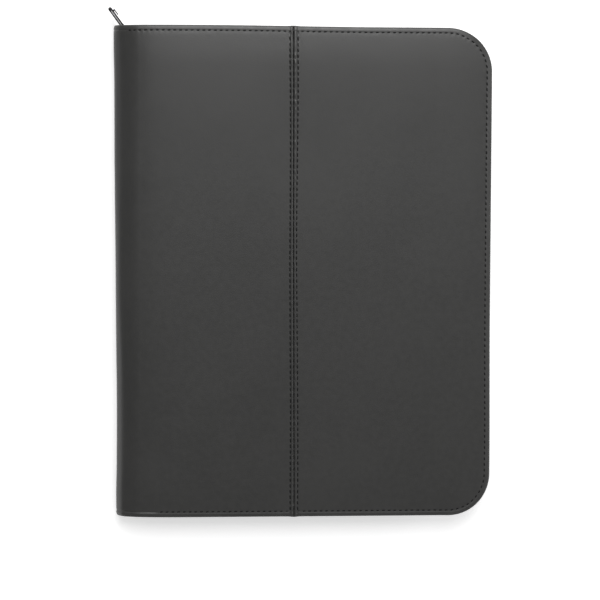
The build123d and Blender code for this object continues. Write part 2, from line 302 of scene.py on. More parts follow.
def round_rect(x0, x1, y0, y1, r, step=2.0, radii=None):
    """Edge of a rectangle with round corners, counted from the lower left."""
    r4 = radii or (r, r, r, r)
    pts, mit = [], []
    centres = [(x0 + r4[0], y0 + r4[0], PI), (x1 - r4[1], y0 + r4[1], 1.5 * PI),
               (x1 - r4[2], y1 - r4[2], 0.0), (x0 + r4[3], y1 - r4[3], 0.5 * PI)]
    for q, (cx, cy, a0) in enumerate(centres):
        rr = r4[q]
        na = max(3, int(rr * PI / 2 / min(step, 1.5)))
        for a in np.linspace(a0, a0 + PI / 2, na + 1):
            pts.append((cx + rr * math.cos(a), cy + rr * math.sin(a)))
            mit.append((-math.cos(a), -math.sin(a)))
        nx = centres[(q + 1) % 4]
        rn = r4[(q + 1) % 4]
        a1 = a0 + PI / 2
        p = np.array(pts[-1])
        e = np.array((nx[0] + rn * math.cos(nx[2]), nx[1] + rn * math.sin(nx[2])))
        ns = int(np.linalg.norm(e - p) / step)
        for t in np.linspace(0, 1, ns + 2)[1:-1]:
            pts.append(tuple(p + (e - p) * t))
            mit.append((-math.cos(a1), -math.sin(a1)))
    return np.array(pts), np.array(mit)


def rect_fill(x0, x1, y0, y1, nx, ny):
    uu, yy = np.meshgrid(np.linspace(x0, x1, nx), np.linspace(y0, y1, ny), indexing="ij")
    return np.stack([uu.ravel(), yy.ravel()], -1)


def tube_along(points, normals, radius, sides=6, closed_ends=True, flat=1.0):
    """Verts and faces of a tube on a line of points; radius may differ along it."""
    p = np.asarray(points, float)
    t = np.gradient(p, axis=0)
    t /= np.linalg.norm(t, axis=1)[:, None]
    n = np.asarray(normals, float)
    n = n - (n * t).sum(1)[:, None] * t
    n /= np.linalg.norm(n, axis=1)[:, None]
    b = np.cross(t, n)
    r = np.broadcast_to(radius, (len(p),))
    a = np.arange(sides) * 2 * PI / sides
    v = (p[:, None] + r[:, None, None] * (np.cos(a)[None, :, None] * b[:, None] + flat * np.sin(a)[None, :, None] * n[:, None])).reshape(-1, 3)
    f = []
    for i in range(len(p) - 1):
        for j in range(sides):
            k = (j + 1) % sides
            f.append((i * sides + j, i * sides + k, (i + 1) * sides + k, (i + 1) * sides + j))
    if closed_ends:
        f.append(tuple(range(sides - 1, -1, -1)))
        m = (len(p) - 1) * sides
        f.append(tuple(m + j for j in range(sides)))
    return v, f


class Stitches:
    """Rows of single stitches: short bowed threads that dip in at both ends."""

    def __init__(self):
        self.v, self.f, self.uv, self.n = [], [], [], 0

    def row(self, plan, place, lift, pitch=PITCH, length=2.75, radius=0.27, slant=0.12, dive=0.55, start=0.0, stop=None):
        plan = np.asarray(plan, float)
        s = arc_length(plan)
        stop = s[-1] if stop is None else stop
        count = int((stop - start) / pitch)
        for q in range(count):
            c = start + (q + 0.5) * pitch + rng.normal(0, 0.05)
            le = length * (1 + rng.normal(0, 0.03))
            t = np.linspace(-0.5, 0.5, 8)
            ss = c + t * le
            x, y = np.interp(ss, s, plan[:, 0]), np.interp(ss, s, plan[:, 1])
            dx, dy = np.gradient(x), np.gradient(y)
            m = np.hypot(dx, dy)
            off = slant * t * 2 + rng.normal(0, 0.025)
            x, y = x - dy / m * off, y + dx / m * off
            h = lift - dive * np.abs(2 * t) ** 4
            if callable(lift):
                h = lift(x, y) - dive * np.abs(2 * t) ** 4
            p = place(x, y, h)
            nrm = place(x, y, h + 1.0) - p
            r = radius * (1 - 0.35 * np.abs(2 * t) ** 6)
            v, f = tube_along(p, nrm, r, sides=7, flat=0.72)
            self.v.append(v)
            self.f += [tuple(i + self.n for i in face) for face in f]
            a = np.tile(np.arange(7) / 7 * 2 * PI * radius, 8)
            self.uv.append(np.stack([np.repeat(t * le, 7), a], -1))
            self.n += len(v)
        return self

    def build(self, name, material):
        return make(name, np.concatenate(self.v), self.f, material, uv=np.concatenate(self.uv), sharp=70)


# -------------------------------------------------------------------- materials
def new_material(name):
    m = bpy.data.materials.new(name)
    m.use_nodes = True
    nt = m.node_tree
    b = nt.nodes["Principled BSDF"]
    return m, nt, b


def node(nt, kind, inputs=None, **props):
    n = nt.nodes.new(kind)
    for a, b in props.items():
        setattr(n, a, b)
    for a, b in (inputs or {}).items():
        if isinstance(b, bpy.types.NodeSocket):
            nt.links.new(b, n.inputs[a])
        else:
            n.inputs[a].default_value = b
    return n


def math_node(nt, op, a, b=None, c=None):
    n = nt.nodes.new("ShaderNodeMath")
    n.operation = op
    for i, v in enumerate((a, b, c)):
        if v is None:
            continue
        if isinstance(v, bpy.types.NodeSocket):
            nt.links.new(v, n.inputs[i])
        else:
            n.inputs[i].default_value = v
    return n.outputs[0]


def ramp(nt, fac, stops):
    r = node(nt, "ShaderNodeValToRGB", {"Fac": fac})
    el = r.color_ramp.elements
    while len(el) < len(stops):
        el.new(0.5)
    for e, (p, c) in zip(el, stops):
        e.position = p
        e.color = (c, c, c, 1) if isinstance(c, float) else (*c, 1)
    return r.outputs["Color"]


def spread(nt, fac, lo, hi, a=0.3, b=0.7):
    return node(nt, "ShaderNodeMapRange", {"Value": fac, "From Min": a, "From Max": b, "To Min": lo, "To Max": hi}).outputs["Result"]


def bump(nt, height, strength, distance, normal=None):
    n = node(nt, "ShaderNodeBump", {"Height": height, "Strength": strength, "Distance": distance})
    if normal is not None:
        nt.links.new(normal, n.inputs["Normal"])
    return n.outputs["Normal"]


def leatherette(name, dark, light, rough=(0.42, 0.5), grain=1250.0, strength=0.22, wear_and_highlight_tone=(0.085, 0.084, 0.081)):
    """Smooth coated leather: fine pebble, pores, faint clouding, burnished edges; the same lighter tone also paints
    highlight on the seam's ridges.
    """
    m, nt, b = new_material(name)
    tc = node(nt, "ShaderNodeTexCoord").outputs["Object"]
    cloud = node(nt, "ShaderNodeTexNoise", {"Vector": tc, "Scale": 22.0, "Detail": 4.0, "Roughness": 0.55}).outputs["Fac"]
    mottle = node(nt, "ShaderNodeTexNoise", {"Vector": tc, "Scale": 260.0, "Detail": 3.0}).outputs["Fac"]
    wob = node(nt, "ShaderNodeTexNoise", {"Vector": tc, "Scale": 700.0, "Detail": 2.0})
    shift = node(nt, "ShaderNodeVectorMath", {0: wob.outputs["Color"], 1: (0.0006, 0.0006, 0.0006)}, operation="MULTIPLY")
    moved = node(nt, "ShaderNodeVectorMath", {0: tc, 1: shift.outputs[0]}, operation="ADD").outputs[0]
    pebble = node(nt, "ShaderNodeTexVoronoi", {"Vector": moved, "Scale": grain, "Smoothness": 0.7}, feature="SMOOTH_F1").outputs["Distance"]
    pores = node(nt, "ShaderNodeTexNoise", {"Vector": tc, "Scale": 3600.0, "Detail": 2.0}).outputs["Fac"]
    mixed = math_node(nt, "MULTIPLY_ADD", cloud, 0.75, math_node(nt, "MULTIPLY", mottle, 0.25))
    base = ramp(nt, mixed, [(0.36, dark), (0.62, light)])
    # per-vertex mask for the lighter tone: burnished edges, and on the front also painted highlight on the seam's
    # ridges
    att = node(nt, "ShaderNodeAttribute", attribute_name="wear_and_highlight").outputs["Fac"]
    scuff = node(nt, "ShaderNodeTexNoise", {"Vector": tc, "Scale": 120.0, "Detail": 5.0}).outputs["Fac"]
    amount = math_node(nt, "MULTIPLY", att, spread(nt, scuff, 0.25, 1.0, 0.35, 0.65))
    mix = node(nt, "ShaderNodeMix", data_type="RGBA")
    nt.links.new(amount, mix.inputs["Factor"])
    nt.links.new(base, mix.inputs["A"])
    mix.inputs["B"].default_value = (*wear_and_highlight_tone, 1)
    nt.links.new(mix.outputs["Result"], b.inputs["Base Color"])
    rr = math_node(nt, "SUBTRACT", spread(nt, mottle, rough[0], rough[1]), math_node(nt, "MULTIPLY", amount, 0.08))
    nt.links.new(rr, b.inputs["Roughness"])
    h = math_node(nt, "MULTIPLY_ADD", pebble, 0.8, math_node(nt, "MULTIPLY", pores, 0.35))
    nt.links.new(bump(nt, h, strength, 0.00011), b.inputs["Normal"])
    return m


def cloth(name, dark, light, pitch_u, pitch_v, rough=0.8, strength=0.6, depth=0.0002, twill=0.0):
    """Woven cloth: warp over weft, drawn in the piece's unrolled plan."""
    m, nt, b = new_material(name)
    uv = node(nt, "ShaderNodeUVMap", uv_map="flat").outputs["UV"]
    sep = node(nt, "ShaderNodeSeparateXYZ", {0: uv})
    tc = node(nt, "ShaderNodeTexCoord").outputs["Object"]
    slub = node(nt, "ShaderNodeTexNoise", {"Vector": tc, "Scale": 350.0, "Detail": 3.0}).outputs["Fac"]
    fluff = node(nt, "ShaderNodeTexNoise", {"Vector": tc, "Scale": 2600.0, "Detail": 2.0}).outputs["Fac"]
    u = math_node(nt, "MULTIPLY_ADD", sep.outputs["X"], 2 * PI / (pitch_u * MM), math_node(nt, "MULTIPLY", slub, 1.2))
    v = math_node(nt, "MULTIPLY", sep.outputs["Y"], 2 * PI / (pitch_v * MM))
    if twill:
        v = math_node(nt, "MULTIPLY_ADD", u, twill, v)
    su, sv = math_node(nt, "SINE", u), math_node(nt, "SINE", v)
    weave = math_node(nt, "MULTIPLY", su, sv)
    ribs = math_node(nt, "ADD", math_node(nt, "ABSOLUTE", su), math_node(nt, "ABSOLUTE", sv))
    h = math_node(nt, "MULTIPLY_ADD", weave, 0.5, math_node(nt, "MULTIPLY_ADD", ribs, 0.3, math_node(nt, "MULTIPLY", fluff, 0.4)))
    tone = math_node(nt, "MULTIPLY_ADD", weave, 0.22, slub)
    nt.links.new(ramp(nt, tone, [(0.25, dark), (0.78, light)]), b.inputs["Base Color"])
    nt.links.new(spread(nt, fluff, rough - 0.08, rough + 0.08), b.inputs["Roughness"])
    b.inputs["Sheen Weight"].default_value = 0.15
    b.inputs["Sheen Roughness"].default_value = 0.4
    nt.links.new(bump(nt, h, strength, depth), b.inputs["Normal"])
    return m


def thread_material(name, dark, light):
    m, nt, b = new_material(name)
    uv = node(nt, "ShaderNodeUVMap", uv_map="flat").outputs["UV"]
    sep = node(nt, "ShaderNodeSeparateXYZ", {0: uv})
    tc = node(nt, "ShaderNodeTexCoord").outputs["Object"]
    fine = node(nt, "ShaderNodeTexNoise", {"Vector": tc, "Scale": 5200.0, "Detail": 2.0}).outputs["Fac"]
    a = math_node(nt, "MULTIPLY_ADD", sep.outputs["X"], 9500.0, math_node(nt, "MULTIPLY", sep.outputs["Y"], 7400.0))
    ply = math_node(nt, "SINE", a)
    h = math_node(nt, "MULTIPLY_ADD", ply, 0.5, fine)
    nt.links.new(ramp(nt, math_node(nt, "MULTIPLY_ADD", ply, 0.25, fine), [(0.2, dark), (0.85, light)]), b.inputs["Base Color"])
    nt.links.new(spread(nt, fine, 0.6, 0.75), b.inputs["Roughness"])
    b.inputs["Specular IOR Level"].default_value = 0.22
    nt.links.new(bump(nt, h, 0.7, 0.0001), b.inputs["Normal"])
    return m


def metal(name, tint, rough=(0.12, 0.24)):
    """Plated zinc: cloudy polish, fine rubbed scratches."""
    m, nt, b = new_material(name)
    tc = node(nt, "ShaderNodeTexCoord").outputs["Object"]
    cloud = node(nt, "ShaderNodeTexNoise", {"Vector": tc, "Scale": 420.0, "Detail": 4.0}).outputs["Fac"]
    st = node(nt, "ShaderNodeMapping", {"Vector": tc, "Scale": (900.0, 900.0, 9000.0)}).outputs[0]
    rub = node(nt, "ShaderNodeTexNoise", {"Vector": st, "Scale": 1.0, "Detail": 3.0}).outputs["Fac"]
    d = tuple(c * 0.72 for c in tint)
    nt.links.new(ramp(nt, cloud, [(0.3, d), (0.7, tint)]), b.inputs["Base Color"])
    b.inputs["Metallic"].default_value = 1.0
    nt.links.new(spread(nt, math_node(nt, "MULTIPLY_ADD", rub, 0.5, math_node(nt, "MULTIPLY", cloud, 0.5)), rough[0], rough[1]), b.inputs["Roughness"])
    nt.links.new(bump(nt, rub, 0.08, 0.00004), b.inputs["Normal"])
    return m


def pull_metal(name):
    """Dark plating, made near-black partly as painted shade for the tab's flanks, with a narrow painted highlight along
    one of its narrow sides.
    """
    m, nt, b = new_material(name)
    tc = node(nt, "ShaderNodeTexCoord").outputs["Object"]
    rel = node(nt, "ShaderNodeVectorMath", {0: tc, 1: (-0.1183, 0.1619, 0.013)}, operation="SUBTRACT").outputs[0]
    across = node(nt, "ShaderNodeVectorMath", {0: rel, 1: (0.809, 0.588, 0.0)}, operation="DOT_PRODUCT").outputs["Value"]
    along = node(nt, "ShaderNodeVectorMath", {0: rel, 1: (-0.588, 0.809, 0.0)}, operation="DOT_PRODUCT").outputs["Value"]
    cloud = node(nt, "ShaderNodeTexNoise", {"Vector": tc, "Scale": 700.0, "Detail": 4.0}).outputs["Fac"]
    st = node(nt, "ShaderNodeMapping", {"Vector": tc, "Scale": (900.0, 900.0, 9000.0)}).outputs[0]
    rub = node(nt, "ShaderNodeTexNoise", {"Vector": st, "Scale": 1.0, "Detail": 3.0}).outputs["Fac"]
    # painted highlight: a bright, rougher band near one narrow side of the tab, where the light would glint
    off = math_node(nt, "ABSOLUTE", math_node(nt, "ADD", across, 0.00082))
    painted_highlight_band = spread(nt, math_node(nt, "MULTIPLY_ADD", cloud, 0.00022, off), 1.0, 0.0, 0.00032, 0.00058)
    short = spread(nt, math_node(nt, "MULTIPLY_ADD", cloud, 0.001, along), 1.0, 0.0, 0.0158, 0.0172)
    amount = math_node(nt, "MULTIPLY", painted_highlight_band, short)
    # the near-black plate colour is partly painted shade for the flanks; the light colour is the painted highlight
    mix = node(nt, "ShaderNodeMix", data_type="RGBA")
    nt.links.new(amount, mix.inputs["Factor"])
    nt.links.new(ramp(nt, cloud, [(0.3, (0.012, 0.012, 0.0125)), (0.7, (0.024, 0.024, 0.025))]), mix.inputs["A"])
    mix.inputs["B"].default_value = (0.42, 0.42, 0.425, 1)
    nt.links.new(mix.outputs["Result"], b.inputs["Base Color"])
    b.inputs["Metallic"].default_value = 1.0
    plate = spread(nt, math_node(nt, "MULTIPLY_ADD", rub, 0.5, math_node(nt, "MULTIPLY", cloud, 0.5)), 0.16, 0.30)
    nt.links.new(math_node(nt, "MULTIPLY_ADD", amount, 0.28, plate), b.inputs["Roughness"])
    nt.links.new(bump(nt, rub, 0.08, 0.00004), b.inputs["Normal"])
    return m


def nylon(name):
    m, nt, b = new_material(name)
    tc = node(nt, "ShaderNodeTexCoord").outputs["Object"]
    n1 = node(nt, "ShaderNodeTexNoise", {"Vector": tc, "Scale": 900.0, "Detail": 3.0}).outputs["Fac"]
    nt.links.new(ramp(nt, n1, [(0.3, (0.012, 0.012, 0.013)), (0.7, (0.03, 0.03, 0.031))]), b.inputs["Base Color"])
    nt.links.new(spread(nt, n1, 0.28, 0.42), b.inputs["Roughness"])
    nt.links.new(bump(nt, n1, 0.15, 0.00008), b.inputs["Normal"])
    return m


def paper_material(name):
    """Writing paper: feint rules, a margin line, tooth, and leaf edges at the sides."""
    m, nt, b = new_material(name)
    tc = node(nt, "ShaderNodeTexCoord").outputs["Object"]
    sep = node(nt, "ShaderNodeSeparateXYZ", {0: tc})
    geo = node(nt, "ShaderNodeNewGeometry").outputs["Normal"]
    gz = node(nt, "ShaderNodeSeparateXYZ", {0: geo}).outputs["Z"]
    tooth = node(nt, "ShaderNodeTexNoise", {"Vector": tc, "Scale": 1800.0, "Detail": 3.0}).outputs["Fac"]
    cloud = node(nt, "ShaderNodeTexNoise", {"Vector": tc, "Scale": 40.0, "Detail": 3.0}).outputs["Fac"]
    white = ramp(nt, math_node(nt, "MULTIPLY_ADD", tooth, 0.4, math_node(nt, "MULTIPLY", cloud, 0.6)),
                 [(0.35, (0.80, 0.79, 0.75)), (0.65, (0.87, 0.865, 0.835))])
    y = math_node(nt, "MULTIPLY_ADD", sep.outputs["Y"], 1 / 0.0071, 40.0)
    fy = math_node(nt, "FRACT", y)
    rule = math_node(nt, "LESS_THAN", math_node(nt, "ABSOLUTE", math_node(nt, "SUBTRACT", fy, 0.5)), 0.022)
    below = math_node(nt, "LESS_THAN", sep.outputs["Y"], 0.098)
    rule = math_node(nt, "MULTIPLY", rule, below)
    red = math_node(nt, "LESS_THAN", math_node(nt, "ABSOLUTE", math_node(nt, "SUBTRACT", sep.outputs["X"], -0.0700)), 0.00018)
    faint = spread(nt, tooth, 0.55, 0.9)
    m1 = node(nt, "ShaderNodeMix", data_type="RGBA")
    nt.links.new(math_node(nt, "MULTIPLY", rule, faint), m1.inputs["Factor"])
    nt.links.new(white, m1.inputs["A"])
    m1.inputs["B"].default_value = (0.36, 0.48, 0.66, 1)
    m2 = node(nt, "ShaderNodeMix", data_type="RGBA")
    nt.links.new(math_node(nt, "MULTIPLY", red, faint), m2.inputs["Factor"])
    nt.links.new(m1.outputs["Result"], m2.inputs["A"])
    m2.inputs["B"].default_value = (0.66, 0.26, 0.28, 1)
    leaf = node(nt, "ShaderNodeTexNoise", {"Vector": node(nt, "ShaderNodeMapping", {"Vector": tc, "Scale": (25.0, 25.0, 9000.0)}).outputs[0], "Scale": 1.0, "Detail": 2.0}).outputs["Fac"]
    edge = ramp(nt, leaf, [(0.3, (0.55, 0.54, 0.50)), (0.65, (0.82, 0.81, 0.77))])
    m3 = node(nt, "ShaderNodeMix", data_type="RGBA")
    nt.links.new(math_node(nt, "LESS_THAN", math_node(nt, "ABSOLUTE", gz), 0.5), m3.inputs["Factor"])
    nt.links.new(m2.outputs["Result"], m3.inputs["A"])
    nt.links.new(edge, m3.inputs["B"])
    nt.links.new(m3.outputs["Result"], b.inputs["Base Color"])
    nt.links.new(spread(nt, tooth, 0.72, 0.85), b.inputs["Roughness"])
    nt.links.new(bump(nt, math_node(nt, "ADD", tooth, leaf), 0.15, 0.00008), b.inputs["Normal"])
    return m


def fibrous(name, dark, light, rough=0.85, scale=500.0, strength=0.3):
    m, nt, b = new_material(name)
    tc = node(nt, "ShaderNodeTexCoord").outputs["Object"]
    n1 = node(nt, "ShaderNodeTexNoise", {"Vector": tc, "Scale": scale, "Detail": 5.0, "Roughness": 0.65}).outputs["Fac"]
    n2 = node(nt, "ShaderNodeTexNoise", {"Vector": tc, "Scale": scale * 5, "Detail": 2.0}).outputs["Fac"]
    nt.links.new(ramp(nt, math_node(nt, "MULTIPLY_ADD", n1, 0.6, math_node(nt, "MULTIPLY", n2, 0.4)), [(0.32, dark), (0.66, light)]), b.inputs["Base Color"])
    nt.links.new(spread(nt, n2, rough - 0.07, rough + 0.07), b.inputs["Roughness"])
    nt.links.new(bump(nt, n2, strength, 0.0001), b.inputs["Normal"])
    return m


LEATHER = leatherette("cover_leatherette", (0.0290, 0.0290, 0.0280), (0.0335, 0.0333, 0.0322), rough=(0.37, 0.43), wear_and_highlight_tone=(0.05, 0.0495, 0.048))
POCKET = leatherette("pocket_leatherette", (0.026, 0.026, 0.0255), (0.032, 0.032, 0.0315), rough=(0.46, 0.56), grain=1500.0, strength=0.3, wear_and_highlight_tone=(0.07, 0.07, 0.068))
THREAD = thread_material("black_thread", (0.0025, 0.0025, 0.0025), (0.009, 0.009, 0.009))
LINING = cloth("lining_weave", (0.016, 0.016, 0.018), (0.05, 0.05, 0.054), 0.62, 0.62, rough=0.72)
TAPE_M = cloth("tape_weave", (0.010, 0.010, 0.011), (0.036, 0.036, 0.038), 0.9, 0.55, rough=0.85, strength=0.8, twill=0.5)
ELASTIC = cloth("elastic_weave", (0.010, 0.010, 0.010), (0.034, 0.034, 0.035), 0.5, 1.25, rough=0.85, strength=0.8)
BINDING = cloth("binding_weave", (0.06, 0.06, 0.066), (0.11, 0.11, 0.118), 0.5, 0.5, rough=0.6, strength=0.35)
COIL = nylon("coil_nylon")
METAL = metal("dark_nickel", (0.17, 0.17, 0.172))
PULL = pull_metal("dark_nickel_painted_highlight")
PAPER = paper_material("ruled_paper")
BOARD = fibrous("chipboard", (0.30, 0.27, 0.22), (0.44, 0.41, 0.35))
STIFF = fibrous("stiffener", (0.28, 0.26, 0.22), (0.42, 0.38, 0.32))
FOAM = fibrous("padding", (0.35, 0.35, 0.35), (0.5, 0.5, 0.5), scale=1500.0)


def on_front(o):
    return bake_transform(o)


def on_back(o):
    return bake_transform(o)


# ------------------------------------------------------------------- outer skin
EDGE_R = 1.05
D_LIST = [0.0, 0.05, 0.16, 0.35, 0.6, 0.9, 1.3, 1.8, 2.3, 2.7, 2.95, 3.15, 3.35, 3.55, 3.75, 3.95, 4.15, 4.35, 4.6, 4.9, 5.3, 6.0, 6.9, 7.6, 7.9, 8.3, 10.5, 14.0]


def half_round(d):
    q = np.clip(EDGE_R - d, 0, EDGE_R)
    return np.sqrt(np.maximum(EDGE_R ** 2 - q ** 2, 0))


def row_in(y):
    """Inset of the edge row: sewn a little further in at the foot."""
    return ROW + 0.25 * S((-y - 105.0) / 58.0) - 0.06 * S((y - 105.0) / 58.0)


def fuller(u, y):
    """The padding is fuller towards the head, up to the spine."""
    return 1 + S((y - 70.0) / 75.0) * S((u + 118.0) / 14.0)


def edge_top(d, s, crown, u, y):
    """Height over an edge: turned-over rim, stitched row, padded field.
    Round the spine the row is only a crease, with no stitches in it."""
    fore = S((u - 92.0) / 30.0) * np.where(y > 0, S((167.0 - y) / 14.0), S((148.0 + y) / 20.0))
    head, foot = S((y - 140.0) / 18.0), S((-y - 140.0) / 18.0)
    rim = (0.45 - 0.12 * head - 0.14 * foot) * np.square(np.clip(1 - d / (3.4 - 0.75 * head), 0, 1))
    fall = 0.8 + 0.28 * S((y + 40.0) / 150.0)
    rim = rim + fore * (fall * np.power(np.clip(1 - d / 3.4, 0, 1), 0.75) - rim)
    rim = rim - 0.2 * foot * (1 - fore) * G((d - 2.1) / 0.6)
    q = np.clip(1 - d / 0.8, 0, 1)
    turn = -1.1 + (1.1 - rim) * np.sqrt(1 - q * q)
    field = crown * fuller(u, y) * (1 - np.square(np.clip(1 - d / 26.0, 0, 1)))
    first = np.where(y < 0, -99.0, -119.5)
    sewn = S((u - first + 2.0) / 4.0)
    e = d - row_in(y)
    dents = S(0.62 - 0.75 * np.cos(2 * PI * s / PITCH))
    row = -0.11 * dents * G(e / np.where(e > 0, 0.65 + 1.1 * head, 0.5)) - 0.015 * G(e / 0.9)
    plain = S((u + 136.0) / 8.0)
    crease = -(0.34 - 0.05 * S((u + 118.0) / 8.0) * (y < 0)) * plain * G(e / np.where(e > 0, 0.24, 0.75)) - 0.04 * G(e / 0.9)
    return turn + field + sewn * row + (1 - sewn) * crease


def edge_bottom(d):
    hem = -2.2 + 1.0 * S((d - 7.7) / 0.5)
    return np.where(d < EDGE_R, -1.1 - 1.1 / EDGE_R * half_round(d), hem)


def ripple(x, y):
    return 0.05 * np.sin(x / 19 + 1.3) * np.sin(y / 27 + 0.7) + 0.035 * np.sin(x / 43 - y / 31)


def seam_top(x, y):
    """Folded seam: two rolled ridges, a gully between, a stitched row on each."""
    e = np.abs(x - SEAM)
    side = np.where(x < SEAM, 1.0, 0.9)
    dents = S(0.62 - 0.75 * np.cos(2 * PI * (y + 161.2) / PITCH))
    wob = 1 + 0.16 * np.sin(y / 6.1) * np.sin(y / 2.3 + x)
    turn = np.where(x < SEAM, 0.4, 2.9)
    pucker = np.sin(y / 0.93 + 1.9 * np.sin(y / 6.7 + turn) + turn) * (0.6 + 0.4 * np.sin(y / 4.3 + 2 * turn))
    h = 0.27 * G((e - 1.25) / 0.85) * side * wob + 0.15 * pucker * G((e - 0.9) / 0.5)
    h = h + 0.13 * S((7.5 - e) / 4.5)
    h = h - 0.22 * dents * G((e - 2.5) / 0.5)
    tight = S(1.0 - 0.9 * np.cos(2 * PI * (y + 161.2) / PITCH))
    return h - (0.12 + 1.03 * tight) * G(e / 0.27)


def seam_painted_highlight(x, y):
    """Painted highlight: the seam's ridges are made lighter towards the head, where the light falls on them."""
    return S((y + 70.0) / 150.0) * G((np.abs(x - SEAM) - 1.2) / 0.6)


def seam_bottom(x):
    return -0.8 * S((8.4 - np.abs(x - SEAM)) / 0.6)


def front_top(x, y, d, s):
    fade = 0.45 + 0.55 * S((d - 0.4) / 2.5)
    return edge_top(d, s, 0.40, x, y) + flare(x, y) + curl(x) - drop(x) + S((d - 5) / 12) * ripple(x, y) + fade * seam_top(x, y)


def front_bottom(x, y, d):
    return edge_bottom(d) + flare(x, y) + curl(x) - drop(x) + np.where(d > 8.4, seam_bottom(x), 0.0)


def flare(u, y):
    """The open ends of the spine stand out a little, it has a faint waist,
    towards the head it is pressed to a slight ridge, and towards the foot its
    shoulders are rounder."""
    ends = 0.55 * S((np.abs(y) - 128.0) / 36.0) - 0.45 * G((y + 95.0) / 42.0)
    end = 0.45 * S((y - 156.0) / 6.0)
    ridge = 0.8 * S(y / 90.0) * ((1 - end) * S((-126.5 - u) / 5.5) - (0.45 - end) * S((-117.0 - u) / 9.0))
    shoulder = 0.46 * S((-y - 5.0) / 60.0) * (G((u + 128.4) / 3.5) - 0.2 * S((-128.0 - u) / 4.5))
    return ends * S((-117.0 - u) / 9.0) + ridge - shoulder


def curl(x):
    """The front lifts a little towards the fore edge."""
    return 0.24 * S((x - 84.0) / 36.0)


def burnish(d):
    return 0.85 * G((d - 1.2) / 0.9) + 0.15 * G((d - 4.6) / 1.0)


seam_cols = np.array([0.02, 0.12, 0.26, 0.45, 0.8, 1.15, 1.45, 1.8, 2.08, 2.3, 2.5, 2.7, 2.92, 3.2, 3.6, 4.1, 4.7, 5.5, 6.5, 7.7, 8.4, 9.2])

row_chain, row_miter = u_chain(ROW, -117.0 - PITCH, step=0.7)
row_chain = row_chain + row_miter * (row_in(row_chain[:, 1]) - ROW)[:, None]
row_len = arc_length(row_chain)[-1]

# left half of the front, from the seam round to the middle of the spine
us = np.unique(np.concatenate([
    SEAM - seam_cols,
    np.arange(SEAM - 10.4, -104.0, -0.96),
    np.linspace(-104.0, U_MID, 40),
]))
mid_rows = np.arange(-149.65, 149.7, PITCH / 3)
ys = np.unique(np.concatenate([-H2 + np.array(D_LIST), mid_rows, H2 - np.array(D_LIST)]))


def bump_out(x, y, d):
    """The seam's bulk pushes the edge out a little."""
    return y + np.sign(y) * 0.32 * G((x - SEAM) / 2.6) * np.clip(1 - d / 3.0, 0, 1)


_wy = np.array([-165.0, -149, -127, -94, -60, -26, 7, 34, 61, 88, 121, 145, 165])
_wl = np.array([0.56, 0.50, 0.58, 0.70, 0.42, 0.22, -0.02, 0.10, 0.28, 0.32, 0.12, -0.20, -0.28])
_wm = np.array([0.52, 0.50, 0.42, 0.24, 0.13, -0.02, -0.16, -0.26, -0.30, -0.31, -0.34, -0.42, -0.46])
_wr = np.array([0.46, 0.46, 0.52, 0.38, 0.05, -0.26, -0.70, -0.66, -0.40, -0.06, 0.20, 0.10, 0.07])


def wander(x, y):
    """The seam and its rows were sewn by hand and eye: none is quite straight."""
    e = x - SEAM
    left, mid, right = np.interp(y, _wy, _wl), np.interp(y, _wy, _wm), np.interp(y, _wy, _wr)
    t = np.clip(np.abs(e) / 2.5, 0, 1)
    near = mid + (np.where(e < 0, left, right) - mid) * t
    return x + near * S((9.0 - np.abs(e)) / 6.5)


def front_place(x, y, h):
    d = H2 - np.abs(y)
    return front(wander(x, y), bump_out(x, y, d), h)


front_left = grid_slab(
    "front_left_skin", us, ys,
    lambda x, y: front_top(x, y, H2 - np.abs(y), np.where(y < 0, x + 117.0, row_len - x - 117.0)),
    lambda x, y: front_bottom(x, y, H2 - np.abs(y)),
    front_place, LEATHER,
    # burnished edges, plus painted highlight on the seam's ridges
    wear_and_highlight=lambda x, y: np.clip(burnish(H2 - np.abs(y)) + seam_painted_highlight(x, y), 0, 1))
on_front(front_left)
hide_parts("front_left_panel", "spine_outer_panel")

# right half of the front, with the two round corners
chain, miter = u_chain(0.0, SEAM + 0.02, step=0.96, extra=SEAM + seam_cols)
s_edge = arc_length(chain + miter * ROW) + SEAM + 117.0
rows_in = np.arange(-149.65 + PITCH / 4, 148.9, PITCH / 4)
dense = inside_cover(SEAM + seam_cols[1:], rows_in, 14.0, 0.6)
cols = np.arange(SEAM + 12.5, W2 - 14.0, 4.5)
pts_in = np.concatenate([dense, inside_cover(cols, np.arange(-147.0, 147.1, 4.2), 14.0, 2.0)])
cut = np.stack([np.full(len(rows_in), SEAM + 0.02), rows_in[::-1]], -1)
def extra_inset(p, d):
    """True distance from the free edge, for points inside the last ring."""
    x, y = p[:, 0], np.abs(p[:, 1])
    straight = np.minimum(W2 - x, H2 - y)
    corner = CR - np.hypot(x - CX, y - CY)
    true = np.where((x > CX) & (y > CY), corner, straight)
    return np.where(d >= D_LIST[-1] - 1e-6, np.maximum(true - d, 0), 0.0)


front_right = slab(
    "front_right_skin", chain, miter, D_LIST, pts_in,
    lambda p, d, i: front_top(p[:, 0], p[:, 1], d + extra_inset(p, d), s_edge[i]),
    lambda p, d, i: front_bottom(p[:, 0], p[:, 1], d),
    lambda x, y, h: front(wander(x, y), np.where(x < SEAM + 8, bump_out(x, y, H2 - np.abs(y)), y), h),
    LEATHER, cut=cut,
    # burnished edges, plus painted highlight on the seam's ridges
    wear_and_highlight=lambda p, d: np.clip(burnish(d) + seam_painted_highlight(p[:, 0], p[:, 1]), 0, 1))
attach(front_right, "front_cover")
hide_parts("front_right_panel")

